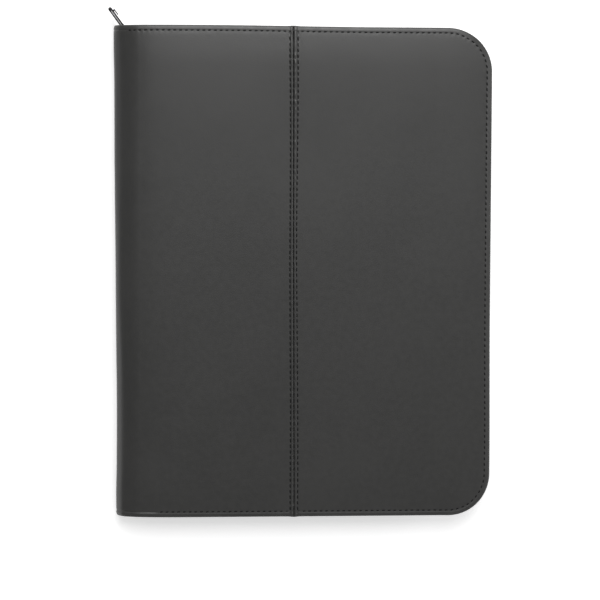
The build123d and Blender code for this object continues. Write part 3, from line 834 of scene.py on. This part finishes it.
# back, in one piece from the middle of the spine
chain_b, miter_b = u_chain(0.0, U_MID, step=0.96)
s_back = arc_length(chain_b + miter_b * ROW) + U_MID + 117.0
cols = np.concatenate([np.arange(U_MID + 0.9, -100.0, 0.9), np.arange(-96.0, W2 - 14.0, 4.5)])
rows_b = np.arange(-147.0, 147.1, 4.2)
pts_in = inside_cover(cols, rows_b, 14.0, 1.5)
cut = np.stack([np.full(len(rows_b), U_MID), rows_b[::-1]], -1)
back_skin = slab(
    "back_skin", chain_b, miter_b, D_LIST, pts_in,
    lambda p, d, i: np.minimum(edge_top(d, s_back[i], 0.0, p[:, 0], p[:, 1]), 0.0) + flare(p[:, 0], p[:, 1]) - drop(p[:, 0]) - S((d - 5) / 12) * (0.09 + ripple(p[:, 0], p[:, 1])),
    lambda p, d, i: edge_bottom(d) + flare(p[:, 0], p[:, 1]) - drop(p[:, 0]),
    back, LEATHER, cut=cut, wear_and_highlight=lambda p, d: burnish(d))
on_back(back_skin)
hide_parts("back_outer_panel")

# ---------------------------------------------------- padding, boards, linings
CORE = 8.8
thin = [0.0, 0.05, 0.15, 0.3, 1.0, 3.0]


def foam_sheet(name, place, under, nodes, blend_it):
    ch, mi = u_chain(CORE, U_MID, step=3.0)
    cc = np.concatenate([np.arange(U_MID + 1.0, -100.0, 1.0), np.arange(-96.0, 112.0, 5.0)])
    cc = np.unique(np.concatenate([cc, SEAM - 8.9 + np.array([0, 0.4, 17.4, 17.8])]))
    pts = inside_cover(cc, np.arange(-150.0, 150.1, 5.0), CORE + thin[-1], 1.2)
    ct = np.arange(-150.0, 150.1, 5.0)[::-1]
    o = slab(name, ch, mi, thin, pts,
             lambda p, d, i: np.where(d > 0.02, under(p[:, 0]) - 0.06, under(p[:, 0]) - 0.1),
             lambda p, d, i: np.where(d > 0.02, np.minimum(-2.15 - board_dip(p[:, 0]), under(p[:, 0]) - 0.16), under(p[:, 0]) - 0.1),
             place, FOAM, cut=np.stack([np.full(len(ct), U_MID), ct], -1))
    blend_it(o)
    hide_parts(*nodes)
    return o


def board_dip(u):
    """How much the boards are pared away on their outer face, near the spine."""
    return np.where(u > SX - 1.0, np.maximum(drop(u) - 0.75, 0.0), 0.0)


def front_under(u):
    return -1.2 - drop(u) + seam_bottom(u)


def back_under(u):
    return -1.2 - drop(u)


front_pad = foam_sheet("front_padding", front, front_under, ["front_foam", "spine_foam"], on_front)
back_pad = foam_sheet("back_padding", back, back_under, ["back_foam"], on_back)


def stiff_board(name, place, node_name, body):
    ch, mi = u_chain(CORE - 0.2, SX + 1.1, step=3.0)
    cc = np.arange(-106.0, 112.0, 4.0)
    rr = np.arange(-150.0, 150.1, 6.0)
    o = slab(name, ch, mi, thin, inside_cover(cc, rr, CORE - 0.2 + thin[-1], 1.2),
             lambda p, d, i: np.where(d > 0.02, -2.25 - board_dip(p[:, 0]), -3.2),
             lambda p, d, i: np.where(d > 0.02, -4.15, -3.2),
             place, STIFF, cut=np.stack([np.full(len(rr), SX + 1.1), rr[::-1]], -1))
    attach(o, body)
    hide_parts(node_name)
    return o


stiff_board("front_board_core", front, "front_board", "front_cover")
stiff_board("back_board_core", back, "back_board", "back_cover")


def lining_depth(u):
    """Depth of the lining's hidden face under the outside of the cover."""
    board, skin = 4.2 - 1.75 * S((-109.4 - u) / 5.5), 1.62 + drop(u)
    return 0.5 * (board + skin + np.sqrt(np.square(board - skin) + 0.16))


def lining_sheet(name, place, nodes, blend_it):
    ch, mi = u_chain(8.5, U_MID, step=2.0)
    cc = np.concatenate([np.arange(U_MID + 0.8, -100.0, 0.8), np.arange(-97.0, 112.0, 4.0)])
    rr = np.arange(-149.0, 149.1, 4.0)
    pts = inside_cover(cc, rr, 8.5 + thin[-1], 1.0)

    def inner(p, d, i):
        slack = 0.07 * np.sin(p[:, 0] / 13 + 0.4) * np.sin(p[:, 1] / 17) * S(d / 3)
        fold = 0.16 * np.sin(p[:, 1] / 3.7 + 1.5 * np.sin(p[:, 1] / 21)) * S((-111 - p[:, 0]) / 5) * S(d / 3)
        full = -lining_depth(p[:, 0]) - 0.58 + slack * (p[:, 0] > -104) + fold
        return np.where(d > 0.02, full, -lining_depth(p[:, 0]) - 0.3)

    o = slab(name, ch, mi, thin, pts, inner,
             lambda p, d, i: np.where(d > 0.02, -lining_depth(p[:, 0]) - 0.02, -lining_depth(p[:, 0]) - 0.3),
             place, LINING, cut=np.stack([np.full(len(rr), U_MID), rr[::-1]], -1))
    blend_it(o)
    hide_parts(*nodes)
    return o


lining_front = lining_sheet("front_lining_cloth", front, ["front_lining", "spine_lining"], on_front)
lining_back = lining_sheet("back_lining_cloth", back, ["back_lining"], on_back)

# ----------------------------------------------------------------- edge stitches
front_rows = Stitches()
front_rows.row(row_chain, lambda x, y, h: front(x, y, h + 0.1 * fuller(x, y) + curl(x) - drop(x)), -0.34, length=2.8, radius=0.63, dive=0.5, start=6 * PITCH)
front_thread = front_rows.build("front_edge_thread", THREAD)
on_front(front_thread)
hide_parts("front_edge_stitching")

back_rows = Stitches()
back_rows.row(row_chain, lambda x, y, h: back(x, y, h - drop(x)), -0.36, length=2.55, radius=0.42, dive=0.4, start=6 * PITCH)
back_thread = back_rows.build("back_edge_thread", THREAD)
on_back(back_thread)
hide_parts("back_edge_stitching")


def seam_lift(x, y):
    """The rows follow the cover down at the head and the foot."""
    d = H2 - np.abs(y)
    return 0.40 * fuller(x, y) * (1 - np.square(np.clip(1 - d / 26.0, 0, 1))) + S((d - 5) / 12) * ripple(x, y)


seam_rows = Stitches()
for sx in (SEAM - 2.5, SEAM + 2.5):
    line = np.stack([np.full(500, sx), np.linspace(-161.2, 161.2, 500)], -1)
    seam_rows.row(line, lambda x, y, h: front(wander(x, y), y, h + seam_lift(x, y)), 0.04, length=3.1, radius=0.45, slant=0.12)
seam_thread = seam_rows.build("seam_thread", THREAD)
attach(seam_thread, "front_cover")
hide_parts("seam_stitching")


# --------------------------------------------------------------------- the zip
def zip_tape(name, flip, body, node_name):
    """Woven tape: a sewn flange on the hem and a wall up to the coil."""
    ch, mi = u_chain(0.0, -117.0, step=1.6)
    s = arc_length(ch + mi * TAPE)
    f = S((ch[:, 0] + 111.5) / 2.0)            # the flange runs out near the spine
    low = 2.2 + (4.75 - 2.2) * (1 - S((ch[:, 0] + 112.0) / 3.0))
    wave = 0.10 * np.sin(s / 9.0) + 0.06 * np.sin(s / 3.7 + 1)
    prof = []                                   # (inset, height, unrolled width)
    out = lambda d: TAPE - f * (TAPE - d)
    for d, z in ((1.6, 0.06), (1.5, 0.3), (1.6, 0.52)):
        prof.append((out(d), low + z * (0.2 + 0.8 * f)))
    for d in (2.6, 3.8, 5.0):
        prof.append((out(d) - 0.02, low + 0.58 * (0.2 + 0.8 * f)))
    for d, z in ((5.75, 0.75), (6.05, 1.15), (6.2, 1.8)):
        prof.append((np.where(f > 0.5, d, 6.2), low + z))
    for q in (0.35, 0.6, 0.85, 1.0):
        z = low + 1.8 + (10.6 - low - 1.8) * q
        prof.append((6.2 + wave * (q - q * q) * 4, z))
    prof.append((np.full(len(s), 6.5), np.full(len(s), 10.72)))
    for q in (1.0, 0.85, 0.6, 0.35):
        z = low + 1.8 + (10.6 - low - 1.8) * q
        prof.append((6.8 + wave * (q - q * q) * 4, z))
    for d, z in ((6.8, 1.2), (6.78, 0.5), (6.6, 0.08)):
        prof.append((np.full(len(s), d), low + z))
    for d in (5.0, 3.8, 2.6):
        prof.append((out(d), low + 0.0 * f))
    m = len(prof)
    n = len(s)
    verts, uv = [], []
    width = 0.0
    prev = None
    for d, z in prof:
        d = np.broadcast_to(d, (n,))
        z = np.broadcast_to(z, (n,))
        mid = np.array([d[n // 2], z[n // 2]])
        width += 0 if prev is None else float(np.linalg.norm(mid - prev))
        prev = mid
        p = ch + mi * d[:, None]
        verts.append(np.stack([p[:, 0], p[:, 1], T - z if flip else z], -1))
        uv.append(np.stack([s, np.full(n, width)], -1))
    faces = []
    for a in range(m):
        b = (a + 1) % m
        for i in range(n - 1):
            faces.append((a * n + i, a * n + i + 1, b * n + i + 1, b * n + i))
    for i in (0, n - 1):
        faces.append([a * n + i for a in range(m)])
    o = make(name, np.concatenate(verts), faces, TAPE_M, uv=np.concatenate(uv))
    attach(o, body)
    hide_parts(node_name)
    return o


tape_back = zip_tape("zip_tape_back_cloth", False, "back_cover", "zip_tape_back")
tape_front = zip_tape("zip_tape_front_cloth", True, "front_cover", "zip_tape_front")


def zip_coil(name, flip, start, body, node_name, phase):
    """Nylon spiral sewn to the tape's edge, with the cord down its middle."""
    ch, mi = u_chain(TAPE, start, step=0.6)
    s = arc_length(ch)
    pitch = 1.55
    ss = np.arange(0.3, s[-1] - 0.3, pitch / 10)
    ph = 2 * PI * ss / pitch + phase
    x, y = np.interp(ss, s, ch[:, 0]), np.interp(ss, s, ch[:, 1])
    mx, my = np.interp(ss, s, mi[:, 0]), np.interp(ss, s, mi[:, 1])
    a, b = 1.02 * np.cos(ph), np.sin(ph)
    b = np.sign(b) * np.abs(b) ** 0.8
    z = 11.27 + 1.17 * b
    lean = 0.28 * np.cos(ph + 0.6)
    tx, ty = np.gradient(x), np.gradient(y)
    tm = np.hypot(tx, ty)
    p = np.stack([x + mx * a + tx / tm * lean, y + my * a + ty / tm * lean, z], -1)
    nrm = np.stack([mx * np.cos(ph), my * np.cos(ph), np.sin(ph)], -1)
    v, f = tube_along(p, nrm, 0.31, sides=6)
    cord = np.stack([ch[:, 0], ch[:, 1], np.full(len(ch), 11.2)], -1)
    v2, f2 = tube_along(cord, np.tile([0, 0, 1.0], (len(cord), 1)), 0.55, sides=8)
    f = f + [tuple(i + len(v) for i in face) for face in f2]
    v = np.concatenate([v, v2])
    if flip:
        v[:, 2] = T - v[:, 2]
    o = make(name, v, f, COIL, sharp=80)
    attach(o, body)
    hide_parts(node_name)
    return o


zip_coil("zip_coil_back_spiral", False, -113.8, "back_cover", "zip_coil_back", 0.0)
zip_coil("zip_coil_front_spiral", True, -109.8, "front_cover", "zip_coil_front", PI)


def polished(name, node_name, body, bevel, material, tweak=None):
    """The CAD part's own shape with its edges broken, as cast and plated."""
    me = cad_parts[node_name].data.copy()
    me.name = name
    bm = bmesh.new()
    bm.from_mesh(me)
    bmesh.ops.remove_doubles(bm, verts=bm.verts, dist=1e-6)
    if tweak:
        for v in bm.verts:
            tweak(v)
    bmesh.ops.dissolve_limit(bm, angle_limit=math.radians(4), verts=bm.verts, edges=bm.edges)
    bm.normal_update()
    bm.to_mesh(me)
    bm.free()
    me.materials.clear()
    me.materials.append(material)
    o = bpy.data.objects.new(name, me)
    bpy.context.scene.collection.objects.link(o)
    mod = o.modifiers.new("broken_edges", "BEVEL")
    mod.width = bevel * MM
    mod.segments = 3
    mod.limit_method = "ANGLE"
    mod.angle_limit = math.radians(32)
    mod.harden_normals = False
    dg = bpy.context.evaluated_depsgraph_get()
    done = bpy.data.meshes.new_from_object(o.evaluated_get(dg))
    o.modifiers.clear()
    o.data = done
    done.polygons.foreach_set("use_smooth", np.ones(len(done.polygons), bool))
    done.set_sharp_from_angle(angle=math.radians(35))
    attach(o, body)
    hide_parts(node_name)
    return o


def thin_wedge(v):
    if abs(v.co.z - 0.013) < 0.00056 and v.co.x < -0.1175 and 0.1568 < v.co.y < 0.1602:
        v.co.z = 0.013 + (v.co.z - 0.013) * 0.35


polished("slider_body_cast", "slider_body", "zip_slider", 0.28, METAL, thin_wedge)
polished("slider_bail_cast", "slider_bail", "zip_slider", 0.3, METAL)
polished("pull_tab_cast", "pull_tab", "zip_pull", 0.36, PULL)
polished("bottom_stop_clip", "zip_bottom_stop", "back_cover", 0.3, METAL)

# ------------------------------------------------------------------- inside back
PX0, PX1, PY = -101.5, 114.5, 139.5

ch, mi = round_rect(PX0, PX1, -PY, PY, 0.6, step=4.0)
backing = slab("pad_backing_card", ch, mi, [0, 0.08, 0.25, 0.6], rect_fill(PX0 + 5, PX1 - 5, -PY + 5, PY - 5, 24, 30),
               lambda p, d, i: np.where(d > 0.01, 0.8 - 0.1 * (d < 0.2), 0.4), lambda p, d, i: np.where(d > 0.01, 0.02 + 0.1 * (d < 0.2), 0.4), level(4.8), BOARD)
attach(backing, "back_cover")
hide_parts("pad_backing_board")


def stack():
    """Leaves in small gathers, each a hair out of line, and a lifted top corner."""
    verts, faces, n = [], [], 0
    layers = [(5.62, 6.3, 30.7)] + [(6.32 + 0.56 * q, 6.32 + 0.56 * (q + 1) - 0.03, -PY) for q in range(8)]
    layers[-1] = (layers[-1][0], 10.68, -PY)
    layers.append((10.7, 10.8, -PY))
    for q, (z0, z1, y0) in enumerate(layers):
        j = rng.normal(0, 0.10, 3)
        x0, x1 = PX0 + 0.15 + abs(j[0]), PX1 - 0.15 - abs(j[1])
        ya, yb = y0 + 0.12 + abs(j[2]), PY - 0.05
        xs_, ys_ = np.linspace(x0, x1, 28), np.linspace(ya, yb, 36)
        uu, yy = np.meshgrid(xs_, ys_, indexing="ij")
        lift = np.zeros_like(uu)
        if q == len(layers) - 1:
            c = np.clip(1 - np.hypot(uu - x1, yy - ya) / 60.0, 0, 1)
            lift = 2.2 * c ** 2.2 + 0.12 * S((-60 - yy) / 80) * (1 + np.sin(uu / 23))
        top = np.stack([uu, yy, z1 + lift], -1).reshape(-1, 3)
        low = np.stack([uu, yy, z0 + lift], -1).reshape(-1, 3)
        a, b = uu.shape
        idt = n + np.arange(a * b).reshape(a, b)
        idb = idt + a * b
        for i in range(a - 1):
            for k in range(b - 1):
                faces.append((idt[i, k], idt[i + 1, k], idt[i + 1, k + 1], idt[i, k + 1]))
                faces.append((idb[i, k], idb[i, k + 1], idb[i + 1, k + 1], idb[i + 1, k]))
        ring_t = np.concatenate([idt[:, 0], idt[-1, 1:], idt[-2::-1, -1], idt[0, -2:0:-1]])
        ring_b = np.concatenate([idb[:, 0], idb[-1, 1:], idb[-2::-1, -1], idb[0, -2:0:-1]])
        for i in range(len(ring_t)):
            k = (i + 1) % len(ring_t)
            faces.append((ring_t[i], ring_b[i], ring_b[k], ring_t[k]))
        verts += [top, low]
        n += 2 * a * b
    return make("pad_leaves", np.concatenate(verts), faces, PAPER, sharp=40)


leaves = stack()
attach(leaves, "back_cover")
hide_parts("pad_sheets")

# binding strip, folded over the pad's head
prof = [(139.78, 4.85), (139.8, 5.2), (139.82, 7.0), (139.8, 9.0), (139.74, 10.6), (139.6, 10.95), (139.2, 11.08), (138.0, 11.1), (130.0, 11.09), (122.0, 11.1),
        (118.2, 11.08), (117.7, 10.98), (117.8, 10.84), (122.0, 10.83), (130.0, 10.83), (138.6, 10.82), (139.3, 10.74), (139.5, 10.4), (139.52, 8.0), (139.52, 5.2), (139.54, 4.88)]
bx = np.linspace(PX0 + 0.1, PX1 - 0.1, 60)
bv, buv, bf = [], [], []
wid = 0.0
for q, (py, pz) in enumerate(prof):
    if q:
        wid += math.hypot(py - prof[q - 1][0], pz - prof[q - 1][1])
    bv.append(np.stack([bx, np.full(60, py), pz + 0.015 * np.sin(bx / 7.0) * (pz > 10.8)], -1))
    buv.append(np.stack([bx, np.full(60, wid)], -1))
for q in range(len(prof)):
    r = (q + 1) % len(prof)
    for i in range(59):
        bf.append((q * 60 + i, q * 60 + i + 1, r * 60 + i + 1, r * 60 + i))
for i in (0, 59):
    bf.append([q * 60 + i for q in range(len(prof))])
binding = make("pad_binding_tape", np.concatenate(bv), bf, BINDING, uv=np.concatenate(buv))
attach(binding, "back_cover")
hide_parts("pad_binding")

# sleeve that the pad's card slides into
SL = 9.3
sx0, sy1 = PX0 - 1.2, 30.0
r_in = CR - SL


def sleeve_edge():
    xs_ = np.linspace(sx0, CX, 100)
    an = np.linspace(-PI / 2, 0, 24)[1:-1]
    ys_ = np.linspace(-CY, sy1, 84)
    xt = np.linspace(W2 - SL, sx0, 110)[1:]
    yl = np.linspace(sy1, -H2 + SL, 94)[1:-1]
    p = [(x, -H2 + SL) for x in xs_] + [(CX + r_in * math.cos(a), -CY + r_in * math.sin(a)) for a in an]
    m = [(0, 1)] * 100 + [(-math.cos(a), -math.sin(a)) for a in an]
    p += [(W2 - SL, y) for y in ys_]
    m += [(-1, 0)] * 84
    p += [(x, sy1) for x in xt] + [(sx0, y) for y in yl]
    m += [(0, -1)] * 109 + [(1, 0)] * 92
    m[0] = (1, 1)
    m[100 + 22 + 83] = (-1, -1)
    m[100 + 22 + 84 + 108] = (1, -1)
    return np.array(p), np.array(m, float)


ch, mi = sleeve_edge()
sl_d = [0, 0.06, 0.2, 0.45, 0.9, 1.15, 1.5, 2.1]
xg = np.concatenate([[PX0 + 1.6], np.arange(-97.0, 112.0, 4.0)])
yg = np.concatenate([[-152.0, -149.0, -146.0, -143.5, -141.5, -140.2, -139.6, -139.2, -138.0], np.arange(-134.0, 20.0, 4.0), [22.0, 23.4, 24.0, 24.6, 25.2, 26.4]])
gx, gy = np.meshgrid(xg, yg, indexing="ij")
ok = (gx < W2 - SL - 3.4) & (gx > sx0 + 2.6)
ok &= ~((gx > CX) & (gy < -CY)) | (np.square(gx - CX) + np.square(gy + CY) < (r_in - 3.2) ** 2)
sleeve_in = np.stack([gx[ok], gy[ok]], -1)


def off_pad(p):
    ox = np.maximum(np.maximum(PX0 - p[:, 0], p[:, 0] - PX1), 0)
    oy = np.maximum(-PY - p[:, 1], 0)
    return np.hypot(ox, oy)


def sleeve_top(p, d, i):
    r = off_pad(p)
    sewn = np.minimum(0.55 * S(r / 9.0) + 0.5 * S(r / 1.2), 0.95)
    hem = -0.16 * G((p[:, 1] - 23.9) / 0.45)
    soft = 0.05 * np.sin(p[:, 0] / 15) * np.sin(p[:, 1] / 19)
    full = 1.45 - sewn + hem + soft * (d > 2.0)
    rim = np.where(p[:, 1] > 27.5, 1.12, 0.3)
    k = np.clip(half_round(d * EDGE_R / 0.9) / EDGE_R, 0, 1)
    return rim + (full - rim) * k


def sleeve_bottom(p, d, i):
    r = off_pad(p)
    full = 0.82 - 0.78 * S((r - 0.05) / 0.35)
    rim = np.where(p[:, 1] > 27.5, 1.12, 0.3)
    k = np.clip(half_round(d * EDGE_R / 0.3) / EDGE_R, 0, 1)
    return rim + (full - rim) * k


sleeve = slab("pad_sleeve_skin", ch, mi, sl_d, sleeve_in, sleeve_top, sleeve_bottom, level(4.8), POCKET,
              wear_and_highlight=lambda p, d: 0.5 * G((d - 0.5) / 0.5))
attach(sleeve, "back_cover")
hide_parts("pad_sleeve")

# ----------------------------------------------------------------- elastic loop
LX, LZ, LR, LT = -109.0, 10.4, 4.8, 0.78


def loop_mesh():
    na, nb = 64, 76
    ang = np.linspace(0, 2 * PI, na, endpoint=False)
    yy = np.linspace(-2.5, 22.5, nb)
    rib = 0.06 * np.cos(2 * PI * yy / 1.25)
    endr = np.clip(1 - np.minimum(yy + 2.5, 22.5 - yy) / 0.5, 0, 1)
    verts, faces, uv = [], [], []
    for side in (1, 0):
        r = (LR + LT + rib - 0.25 * endr ** 2 - 0.06) if side else (LR + 0.02 + 0.2 * endr ** 2)
        for a in ang:
            verts.append(np.stack([LX + r * np.cos(a) * np.ones(nb), yy, LZ + r * np.sin(a) * np.ones(nb)], -1))
            uv.append(np.stack([np.full(nb, a * LR), yy + 50 * (1 - side)], -1))
    for i in range(na):
        j = (i + 1) % na
        for k in range(nb - 1):
            faces.append((i * nb + k, i * nb + k + 1, j * nb + k + 1, j * nb + k))
            o = na * nb
            faces.append((o + i * nb + k, o + j * nb + k, o + j * nb + k + 1, o + i * nb + k + 1))
        for k in (0, nb - 1):
            faces.append((i * nb + k, j * nb + k, na * nb + j * nb + k, na * nb + i * nb + k))
    verts = np.concatenate(verts)
    uv = np.concatenate(uv)
    # sewn-down tab
    ch_, mi_ = round_rect(-109.0, -103.1, -2.4, 22.4, 0.4, step=1.0)
    n0 = len(verts)
    rings = [(0.0, 5.2), (0.06, 5.42), (0.2, 5.55), (0.8, 5.58)]
    low = [(0.06, 4.98), (0.2, 4.86), (0.8, 4.84)]
    m = len(ch_)
    add, auv = [], []
    for d, z in rings + low:
        q = ch_ + mi_ * min(d, 0.39)
        add.append(np.stack([q[:, 0], q[:, 1], np.full(m, z)], -1))
        auv.append(np.stack([q[:, 0], q[:, 1]], -1))
    for r in range(3):
        for i in range(m):
            j = (i + 1) % m
            faces.append((n0 + r * m + i, n0 + r * m + j, n0 + (r + 1) * m + j, n0 + (r + 1) * m + i))
    order = [0, 4, 5, 6]
    for r in range(3):
        for i in range(m):
            j = (i + 1) % m
            a, b = order[r], order[r + 1]
            faces.append((n0 + a * m + j, n0 + a * m + i, n0 + b * m + i, n0 + b * m + j))
    faces.append([n0 + 3 * m + i for i in range(m)])
    faces.append([n0 + 6 * m + i for i in range(m - 1, -1, -1)])
    return make("pen_loop_elastic", np.concatenate([verts] + add), faces, ELASTIC, uv=np.concatenate([uv] + auv))


loop = loop_mesh()
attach(loop, "back_cover")
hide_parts("pen_loop")

# --------------------------------------------------------- pockets in the front
pocket_sheets = []


def pocket(name, node_name, ch, mi, pts, z_face, thick_, hem_y):
    """Thin leatherette sheet, turned at its open top, sewn round the rest."""
    def face(p, d, i):
        k = np.clip(half_round(d * EDGE_R / 0.5) / EDGE_R, 0, 1)
        hem = 0.05 * S((p[:, 1] - hem_y) / 0.5) - 0.13 * G((p[:, 1] - hem_y) / 0.4)
        slack = 0.06 * np.sin(p[:, 0] / 14) * np.sin(p[:, 1] / 18 + 0.5) * S((d - 1) / 3)
        return thick_ / 2 + (thick_ / 2 - 0.05 + hem + slack) * k

    def rear(p, d, i):
        k = np.clip(half_round(d * EDGE_R / 0.3) / EDGE_R, 0, 1)
        return thick_ / 2 - (thick_ / 2 - 0.03) * k

    o = slab(name, ch, mi, [0, 0.05, 0.15, 0.3, 0.5, 1.0, 1.6], pts, face, rear, level(z_face, -1.0), POCKET,
             wear_and_highlight=lambda p, d: 0.6 * G((d - 0.3) / 0.4))
    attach(o, "front_cover")
    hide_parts(node_name)
    pocket_sheets.append(o)
    return o


r_d = CR - 9.3
dx0, dy1, dy0, dx1 = -100.0, 92.0, -H2 + 9.3, W2 - 9.3
ch, mi = round_rect(dx0, dx1, dy0, dy1, 1.0, step=2.5, radii=(1.7, r_d, 1.7, 1.7))
gx, gy = np.meshgrid(np.arange(dx0 + 4, dx1 - 3, 4.0), np.concatenate([np.arange(dy0 + 4, 80, 4.0), [82.0, 83.2, 83.6, 84.0, 84.4, 85.0, 87.0, 88.8]]), indexing="ij")
ok = ~((gx > CX) & (gy < -CY)) | (np.square(gx - CX) + np.square(gy + CY) < (r_d - 3.5) ** 2)
pocket("document_pocket_skin", "document_pocket", ch, mi, np.stack([gx[ok], gy[ok]], -1), 21.18, 0.68, 84.0)

for nm, nd, topy, zf, rest in (("card_pocket_upper_skin", "card_pocket_upper", 14.0, 20.48, "document_pocket_skin"),
                               ("card_pocket_middle_skin", "card_pocket_middle", -2.0, 19.88, "card_pocket_upper_skin"),
                               ("card_pocket_lower_skin", "card_pocket_lower", -18.0, 19.28, "card_pocket_middle_skin")):
    ch, mi = round_rect(3.0, 107.0, -62.0, topy, 1.7, step=2.0)
    yy_ = np.concatenate([np.arange(-58.0, topy - 7.5, 4.0), [topy - 5.2, topy - 4.4, topy - 4.0, topy - 3.6, topy - 2.9]])
    gx, gy = np.meshgrid(np.arange(6.5, 104.0, 3.5), yy_, indexing="ij")
    pocket(nm, nd, ch, mi, np.stack([gx.ravel(), gy.ravel()], -1), zf, 0.58, topy - 4.0)

# sewing of the pockets and the sleeve
front_sew = Stitches()
down = lambda z: (lambda x, y, h: level(z, -1.0)(x, y, h))
front_sew.row(np.stack([np.linspace(-98.5, 115.0, 400), np.full(400, 84.0)], -1), down(20.5), 0.05, pitch=3.2, length=2.3, radius=0.2, dive=0.3)
dc, dm = u_chain(9.3 + 1.9, -98.2, step=1.0)
last = int(np.argmax(dc[:, 1] > 90.0))
front_sew.row(dc[:last], down(20.5), 0.06, pitch=3.2, length=2.3, radius=0.2, dive=0.3)
front_sew.row(np.stack([np.full(300, -98.2), np.linspace(-153.0, 90.0, 300)], -1), down(20.5), 0.06, pitch=3.2, length=2.3, radius=0.2, dive=0.3)
for topy, z in ((14.0, 19.9), (-2.0, 19.3), (-18.0, 18.7)):
    front_sew.row(np.stack([np.linspace(5.5, 104.5, 200), np.full(200, topy - 4.0)], -1), down(z + 0.02), 0.05, pitch=3.2, length=2.3, radius=0.2, dive=0.3)
for x in (4.9, 105.1):
    for ya, yb, z in ((-60.0, -19.5, 18.7), (-16.6, -3.4, 19.3), (-0.8, 12.4, 19.9)):
        front_sew.row(np.stack([np.full(100, x), np.linspace(ya, yb, 100)], -1), down(z + 0.02), 0.06, pitch=3.2, length=2.3, radius=0.2, dive=0.3)
front_sew.row(np.stack([np.linspace(5.5, 104.5, 200), np.full(200, -60.1)], -1), down(18.72), 0.06, pitch=3.2, length=2.3, radius=0.2, dive=0.3)
o = front_sew.build("pocket_thread", THREAD)
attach(o, "front_cover")

back_sew = Stitches()
sc, sm = u_chain(9.3 + 3.0, -97.0, step=1.0)
foot = sc[:int(np.argmax(sc[:, 1] > -PY - 2.0))]
back_sew.row(foot, level(4.8), 0.62, pitch=3.2, length=2.3, radius=0.2, dive=0.3)
loop_sew = np.stack([np.full(80, -104.4), np.linspace(-1.6, 21.6, 80)], -1)
back_sew.row(loop_sew, level(5.58), 0.06, pitch=2.6, length=1.9, radius=0.18, dive=0.25)
o = back_sew.build("sleeve_thread", THREAD)
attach(o, "back_cover")

# ------------------------------------------------------------ floor, light, camera
bm = bmesh.new()
bmesh.ops.create_grid(bm, x_segments=2, y_segments=2, size=6.0)
me = bpy.data.meshes.new("floor")
bm.to_mesh(me)
bm.free()
floor = bpy.data.objects.new("floor", me)
floor.location = (0, 0, -0.0004)
bpy.context.scene.collection.objects.link(floor)
fm_, fnt, fb = new_material("floor_white")
fb.inputs["Base Color"].default_value = (0.92, 0.92, 0.92, 1)
fb.inputs["Roughness"].default_value = 0.7
fb.inputs["Specular IOR Level"].default_value = 0.2
fb.inputs["Emission Color"].default_value = (1, 1, 1, 1)
fb.inputs["Emission Strength"].default_value = 0.46
me.materials.append(fm_)

world = bpy.data.worlds.new("studio")
world.use_nodes = True
world.node_tree.nodes["Background"].inputs["Color"].default_value = (1, 1, 1, 1)
world.node_tree.nodes["Background"].inputs["Strength"].default_value = 0.25
bpy.context.scene.world = world
bpy.context.scene.view_settings.view_transform = "Standard"
bpy.context.scene.view_settings.look = "None"


def softbox(name, at, aim, size, power):
    li = bpy.data.lights.new(name, "AREA")
    li.shape = "RECTANGLE"
    li.size, li.size_y = size
    li.energy = power
    ob = bpy.data.objects.new(name, li)
    ob.location = at
    ob.rotation_mode = "QUATERNION"
    ob.rotation_quaternion = (Vector(aim) - Vector(at)).to_track_quat("-Z", "Y")
    bpy.context.scene.collection.objects.link(ob)
    return ob


softbox("key_head", (0.02, 1.05, 1.75), (0, 0.05, 0), (1.1, 1.3), 26.2)
softbox("low_head", (0.0, 2.0, 0.95), (0, 0.0, 0), (2.6, 0.5), 9.6)
softbox("side_fore", (1.7, 0.1, 0.9), (0, 0.0, 0), (1.6, 0.6), 10.5)
softbox("low_foot", (0.3, -1.8, 0.6), (0, 0.0, 0), (1.8, 0.4), 2.5)

cam = bpy.data.cameras.new("camera")
cam.sensor_fit = "HORIZONTAL"
cam.sensor_width = 36.0
cam.lens = 1991.5 * 36.0 / 600.0
cam.clip_start, cam.clip_end = 0.05, 30
cam_ob = bpy.data.objects.new("camera", cam)
turn = Vector((-4.005, -3.361, 0.018))
rot = Matrix.Rotation(math.radians(turn.length), 3, turn.normalized())
cam_ob.rotation_mode = "QUATERNION"
cam_ob.rotation_quaternion = rot.to_quaternion()
cam_ob.location = Vector((-0.00191, -0.01896, 0.013)) + 1.35 * (rot @ Vector((0, 0, 1)))
bpy.context.scene.collection.objects.link(cam_ob)
bpy.context.scene.camera = cam_ob
